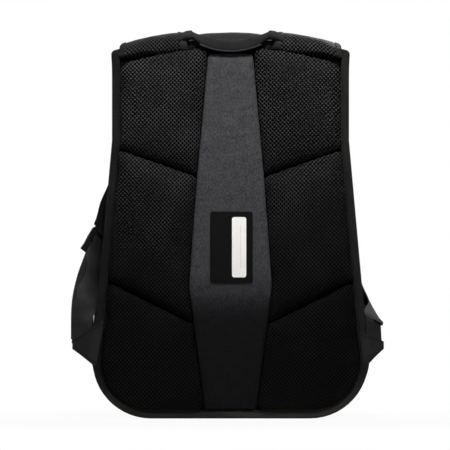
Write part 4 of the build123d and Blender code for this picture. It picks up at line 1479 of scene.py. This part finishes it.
def backing_section(width, share):
    """A thin backing that wraps both edges of the strap."""
    half, thick = width / 2, strap_thickness(share)
    outer = [
        (half - 6.5, thick * 0.92 + 0.5), (half - 2, thick * 0.66 + 0.6), (half + 0.5, thick * 0.3),
        (half + 0.5, -thick * 0.3), (half - 2, -thick * 0.7 - 0.6), (half - 8, -thick - 0.7),
    ]
    inner = [
        (half - 6.5, thick * 0.9 - 0.5), (half - 2.2, thick * 0.55), (half - 0.7, thick * 0.2),
        (half - 0.7, -thick * 0.2), (half - 2.2, -thick * 0.6), (half - 8, -thick + 0.2),
    ]
    # The inner side is walked back from the left edge to the right one.
    return outer + mirrored(outer) + mirrored(inner)[::-1] + inner[::-1]


def bow(rings):
    """Lowers the sewn end of a strap towards the shoulder, as the top seam curves."""
    near = np.clip((80 * mm - rings[:, :, 1]) / (50 * mm), 0, 1)
    side = (rings[:, :, 0] - 84 * mm) / (36 * mm)
    rings[:, :, 2] -= near * np.where(side > 0, 6.0, 1.0) * side**2 * mm
    return rings


def strap(name, route):
    """The pad and the backing of one strap, from the top seam to the ladder lock."""
    centre, along, across, _ = lock_frame(route)
    end = centre - along * (lock_half + 2)
    points = seam_start + over_the_top + route["drape"] + [(tuple(end), tuple(across), 37)]
    frames = frames_along(points, 7, end=along)
    flip = np.array((route["way"], 1, 1))
    for kind, section, slot, node in (
        ("pad", strap_section, "spacer_mesh", ["strap_pad_" + name, "strap_root_" + name]),
        ("backing", backing_section, "shell_fabric", ["strap_lining_" + name]),
    ):
        rings = bow(sweep(frames, section))
        rings[:, :, 1:] += (uneven(rings, 60 * mm, 30 + route["way"]) * 0.8 * mm)[:, :, None]
        piece = tube(f"soft_strap_{kind}_{name}", rings * flip)
        dress(piece, None, slot, replaces=node)
        side = route["way"] * 0.086
        "strap_" + name
        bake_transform(piece)
        kind == "pad"


for name, route in routes.items():
    strap(name, route)
print("straps ready")

# %% [markdown]
# Webbing is woven flat, so it is modelled directly as a thin ribbon. A route with sharp corners is
# quick to write down; cutting its corners again and again makes its bends round.

# %% Webbing ribbon
webbing_width = 25


def webbing_section(width, _share):
    """A flat section with rounded edges, the same all along."""
    half, thin = width / 2, 0.7
    edge = [(half - 0.5, thin), (half, 0.25), (half, -0.25), (half - 0.5, -thin)]
    return edge + [(0, -thin)] + mirrored(edge) + [(0, thin)]


def soften(points, rounds=3):
    """Cuts each corner of a route again and again, so that its bends become round."""
    points = np.array(points, float)
    for _ in range(rounds):
        q = points[:-1] * 0.75 + points[1:] * 0.25
        r = points[:-1] * 0.25 + points[1:] * 0.75
        cuts = np.stack([q, r], axis=1).reshape(-1, points.shape[1])
        points = np.concatenate([points[:1], cuts, points[-1:]])
    return points


def flat_ribbon(points, across):
    """A ribbon along a route in one plane."""
    points = soften(points)
    along = -np.gradient(points, axis=0)
    along /= np.linalg.norm(along, axis=1, keepdims=True)
    side = np.tile(across, (len(points), 1))
    frames = (points, side, np.cross(along, side), np.full(len(points), webbing_width))
    return sweep(frames, webbing_section)


print("points on a softened corner:", len(soften([(0, 0), (1, 0), (1, 1)])))

# %% [markdown]
# The webbing comes from the wing, passes under the ladder lock, turns over its middle bar and comes
# out again as a free tail. A short tab holds the lock: it turns about the lock's top bar, and both
# its ends are sewn into the strap's end.

# %% Thread the webbing
# The wing starts on the line that the strap swings about: across and up, at its two ends.
hinge_low, hinge_high = (141.5, 78.0), (86.0, 405.0)
# It folds at the edge of the bag: across and in depth.
wing_fold, wing_depth = 150.5, -4.5


def wing_seat(route):
    """The webbing's last stations, flat on the back of the wing."""
    fold = np.array((wing_fold, wing_depth, 0.0))
    turn = radians(route["fold"])
    way = np.array((cos(turn), sin(turn), 0))
    back = np.array((-way[1], way[0], 0))
    rows = []
    for share in (1.0, 0.5, 0.0):
        centre = fold + way * 13.1 + back * (2.0 + 2.0 * share) + np.array((0, 0, 81 + 26 * share))
        rows.append((tuple(centre), tuple(way * route["turn"]), webbing_width))
    return rows


def webbing(name, route):
    """The threaded part, the run to the wing, the free tail and the lock's tab of one strap."""
    centre, along, across, normal = lock_frame(route)

    def at(up, out):
        """A place in the lock's own plane, in millimetres along it and out of it."""
        return centre - along * up + normal * out

    flip = np.array((route["way"], 1, 1))
    over, slot_up = 3.8, 5.95
    steps = [
        (-web_out, load_level), (slot_up, load_level), (slot_up, over),
        (-slot_up, over), (-slot_up, tail_level), (-web_out, tail_level),
    ]
    threaded = flat_ribbon([at(*step) for step in steps], across)
    run = [(tuple(at(-web_out, load_level)), tuple(across), webbing_width)]
    run += [(place, turn, webbing_width) for place, turn in route["run"]] + wing_seat(route)
    run = sweep(frames_along(run, 7, start=along, end=(0, 0, -1)), webbing_section)
    tail = [(tuple(at(-web_out, tail_level)), tuple(across), webbing_width)]
    tail += [(place, turn, webbing_width) for place, turn in route["tail"]]
    tail = sweep(frames_along(tail, 8, start=along), webbing_section)
    pieces = [tube(f"webbing_{name}_{k}", rings * flip) for k, rings in enumerate((threaded, run, tail))]
    for piece in pieces:
        dress(piece, "strap_" + name, "webbing", replaces=["strap_webbing_" + name])
    turn = lock_half - lock_bar - layer_gap - 0.7
    loop = [
        (tab_end + 4, 0.9), (tab_end - 2, 0.9), (15.5, 3.6), (turn, 3.6),
        (turn, -3.6), (15.5, -3.6), (tab_end - 2, -0.9), (tab_end + 4, -0.9),
    ]
    rings = flat_ribbon([at(*step) for step in loop], across)
    dress(tube("soft_tab_" + name, rings * flip), "strap_" + name, "webbing", replaces=["strap_tab_" + name])


for name, route in routes.items():
    webbing(name, route)
print("webbing ready")

# %% [markdown]
# A triangle of doubled cloth, the wing, carries each webbing at the bag's lower corner. It folds
# back at the edge of the bag. Rows of stitches follow its hems.

# %% Wings
def wing_grid(route):
    """The wing's outer face, from the hinge line over the fold to its tip."""
    turn = radians(route["fold"])
    lean = (hinge_high[0] - hinge_low[0]) / (hinge_high[1] - hinge_low[1])
    tip, flat, rows = route["tip"], wing_fold - hinge_low[0], []
    reach = flat + (tip - wing_fold) / cos(turn)
    for s in np.concatenate([np.linspace(0, flat, 5), np.linspace(flat + 1.2, reach, 12)]):
        past = max(0.0, s - flat)
        x = hinge_low[0] + min(s, flat) + past * cos(turn)
        y = wing_depth + past * sin(turn)
        share = (x - hinge_low[0]) / (tip - hinge_low[0])
        low = 55 + (75 - 55) * share
        high = route["high"] + (83 - route["high"]) * share
        row = []
        for t in np.linspace(0, 1, 13):
            z = low + (high - low) * t
            shift = lean * (z - hinge_low[1]) * (1 - share)
            curl = 0.5 * sin(pi * t) * sin(pi * min(1.0, s / reach))
            row.append(((x + shift) * route["way"], y - 0.9 + curl, z))
        rows.append(row)
    grid = np.array(rows) * mm
    return grid[:, ::-1] if route["way"] > 0 else grid


def wing(name, route):
    """One wing with its two rows of stitches."""
    grid = wing_grid(route)
    sheet = cloth_sheet("soft_wing_" + name, grid, 1.9 * mm)
    dress(sheet, "strap_" + name, "shell_fabric", wing_cloth, replaces=["strap_wing_" + name])
    "soft_side_" + name
    for k, col in enumerate((1, 11)):
        path, out = grid[:-1, col], normals_of(grid)[:-1, col]
        path = path + out * 0.1 * mm
        row = thread_dashes(f"wing_stitches_{name}_{k}", path, out, 3.0 * mm, 2.0 * mm, 0.3 * mm)
        dress(row, "strap_" + name, "shell_fabric", thread_black)


wing_cloth = finish("wing_cloth", plain_weave(0.9 * mm, 0.010, 0.027, 0.02), 0.7, specular=0.12)
for name, route in routes.items():
    wing(name, route)
print("wings ready")

# %% [markdown]
# ## Camera, floor and light
# The camera stands far back with a long lens, so lines stay straight and nothing bulges. The lens
# follows from the distance and from how wide a strip of the scene the picture shows.

# %% Camera
distance, view_width, sensor_width = 8.0, 0.486, 36.0
camera = bpy.data.objects.new("camera", bpy.data.cameras.new("camera"))
camera.location = (-5.94 * mm, -distance, 0.209)
camera.rotation_euler = (pi / 2, 0, 0)
camera.data.sensor_width = sensor_width
camera.data.lens = sensor_width * distance / view_width
camera.data.clip_end = 60
scene.collection.objects.link(camera)
scene.camera = camera
print("lens:", round(camera.data.lens), "mm")

# %% [markdown]
# The floor is pale, so the black bag stands out. To the camera it glows almost white, and a matt
# part keeps the bag's soft shadow. To every other ray it is mostly matt, so it does not light the
# bag from below.

# %% Floor
def pale_ground():
    """A pale surface that looks white to the camera but keeps the bag's shadow."""
    material = bpy.data.materials.new("ground")
    material.use_nodes = True
    tree = material.node_tree
    tree.nodes.clear()
    wire = Wire(tree)
    place = wire.make("ShaderNodeTexCoord", out="Object")
    far = wire.make("ShaderNodeVectorMath", {"operation": "LENGTH"}, {0: place}, out="Value")
    share = 0.95 + far.smooth(0.2, 0.55) * 0.05
    shown = wire.make("ShaderNodeLightPath", out="Is Camera Ray")
    seen = shown * share + (1 - shown) * 0.16
    matt = wire.make("ShaderNodeBsdfDiffuse", ins={"Color": grey(0.82)})
    glow = wire.make("ShaderNodeEmission", ins={"Color": grey(1.0), "Strength": 1.0})
    both = wire.make("ShaderNodeMixShader", ins={0: seen, 1: matt, 2: glow})
    end = tree.nodes.new("ShaderNodeOutputMaterial")
    tree.links.new(both.socket, end.inputs["Surface"])
    return material


ground = make_piece("floor", [(-20, -20, 0), (20, -20, 0), (20, 20, 0), (-20, 20, 0)], [(0, 1, 2, 3)])
ground.data.materials.append(pale_ground())
print("floor ready")

# %% [markdown]
# The backdrop is the world itself: white where the camera sees it, and a weak even glow for
# everything else, so that the lamps shape the bag.

# %% Backdrop
world = bpy.data.worlds.new("studio")
scene.world = world
world.use_nodes = True
air = world.node_tree
air.nodes.clear()
sky = Wire(air)
shown = sky.make("ShaderNodeLightPath", out="Is Camera Ray")
through = sky.make("ShaderNodeLightPath", out="Is Transmission Ray")
seen = sky.maths("MAXIMUM", shown, through)
soft = sky.make("ShaderNodeBackground", ins={"Color": grey(1.0), "Strength": 0.09})
white = sky.make("ShaderNodeBackground", ins={"Color": grey(1.0), "Strength": 1.0})
sky_mix = sky.make("ShaderNodeMixShader", ins={0: seen, 1: soft, 2: white})
world_end = air.nodes.new("ShaderNodeOutputWorld")
air.links.new(sky_mix.socket, world_end.inputs["Surface"])
scene.view_settings.view_transform = "Standard"
print("backdrop ready")

# %% [markdown]
# A small key lamp with a narrow beam hangs above and in front of the bag and is aimed at its top,
# so its light grazes the pads and shows their relief. A large weak lamp in front fills the shadows,
# one at each side keeps the edges readable, and a strong soft one behind lights the far side.

# %% Lights
def softbox(name, place, aim, size, power, spread=180):
    """A square light that faces a point."""
    data = bpy.data.lights.new(name, "AREA")
    data.size = size
    data.energy = power
    data.spread = radians(spread)
    lamp = bpy.data.objects.new(name, data)
    lamp.location = place
    lamp.rotation_euler = (Vector(aim) - Vector(place)).to_track_quat("-Z", "Y").to_euler()
    scene.collection.objects.link(lamp)


softbox("key", (0.08, -0.9, 1.4), (0, 0, 0.42), 0.3, 1.25, spread=30)
softbox("front", (0.0, -1.5, 0.8), (0, 0, 0.22), 1.0, 0.45)
softbox("left_fill", (-1.5, -0.3, 0.6), (0, 0.05, 0.22), 0.7, 1.0)
softbox("right_fill", (1.5, -0.3, 0.6), (0, 0.05, 0.22), 0.7, 1.0)
softbox("back_light", (0.4, 1.5, 1.3), (0, 0.05, 0.25), 1.0, 16.0)

# %% [markdown] ## The end
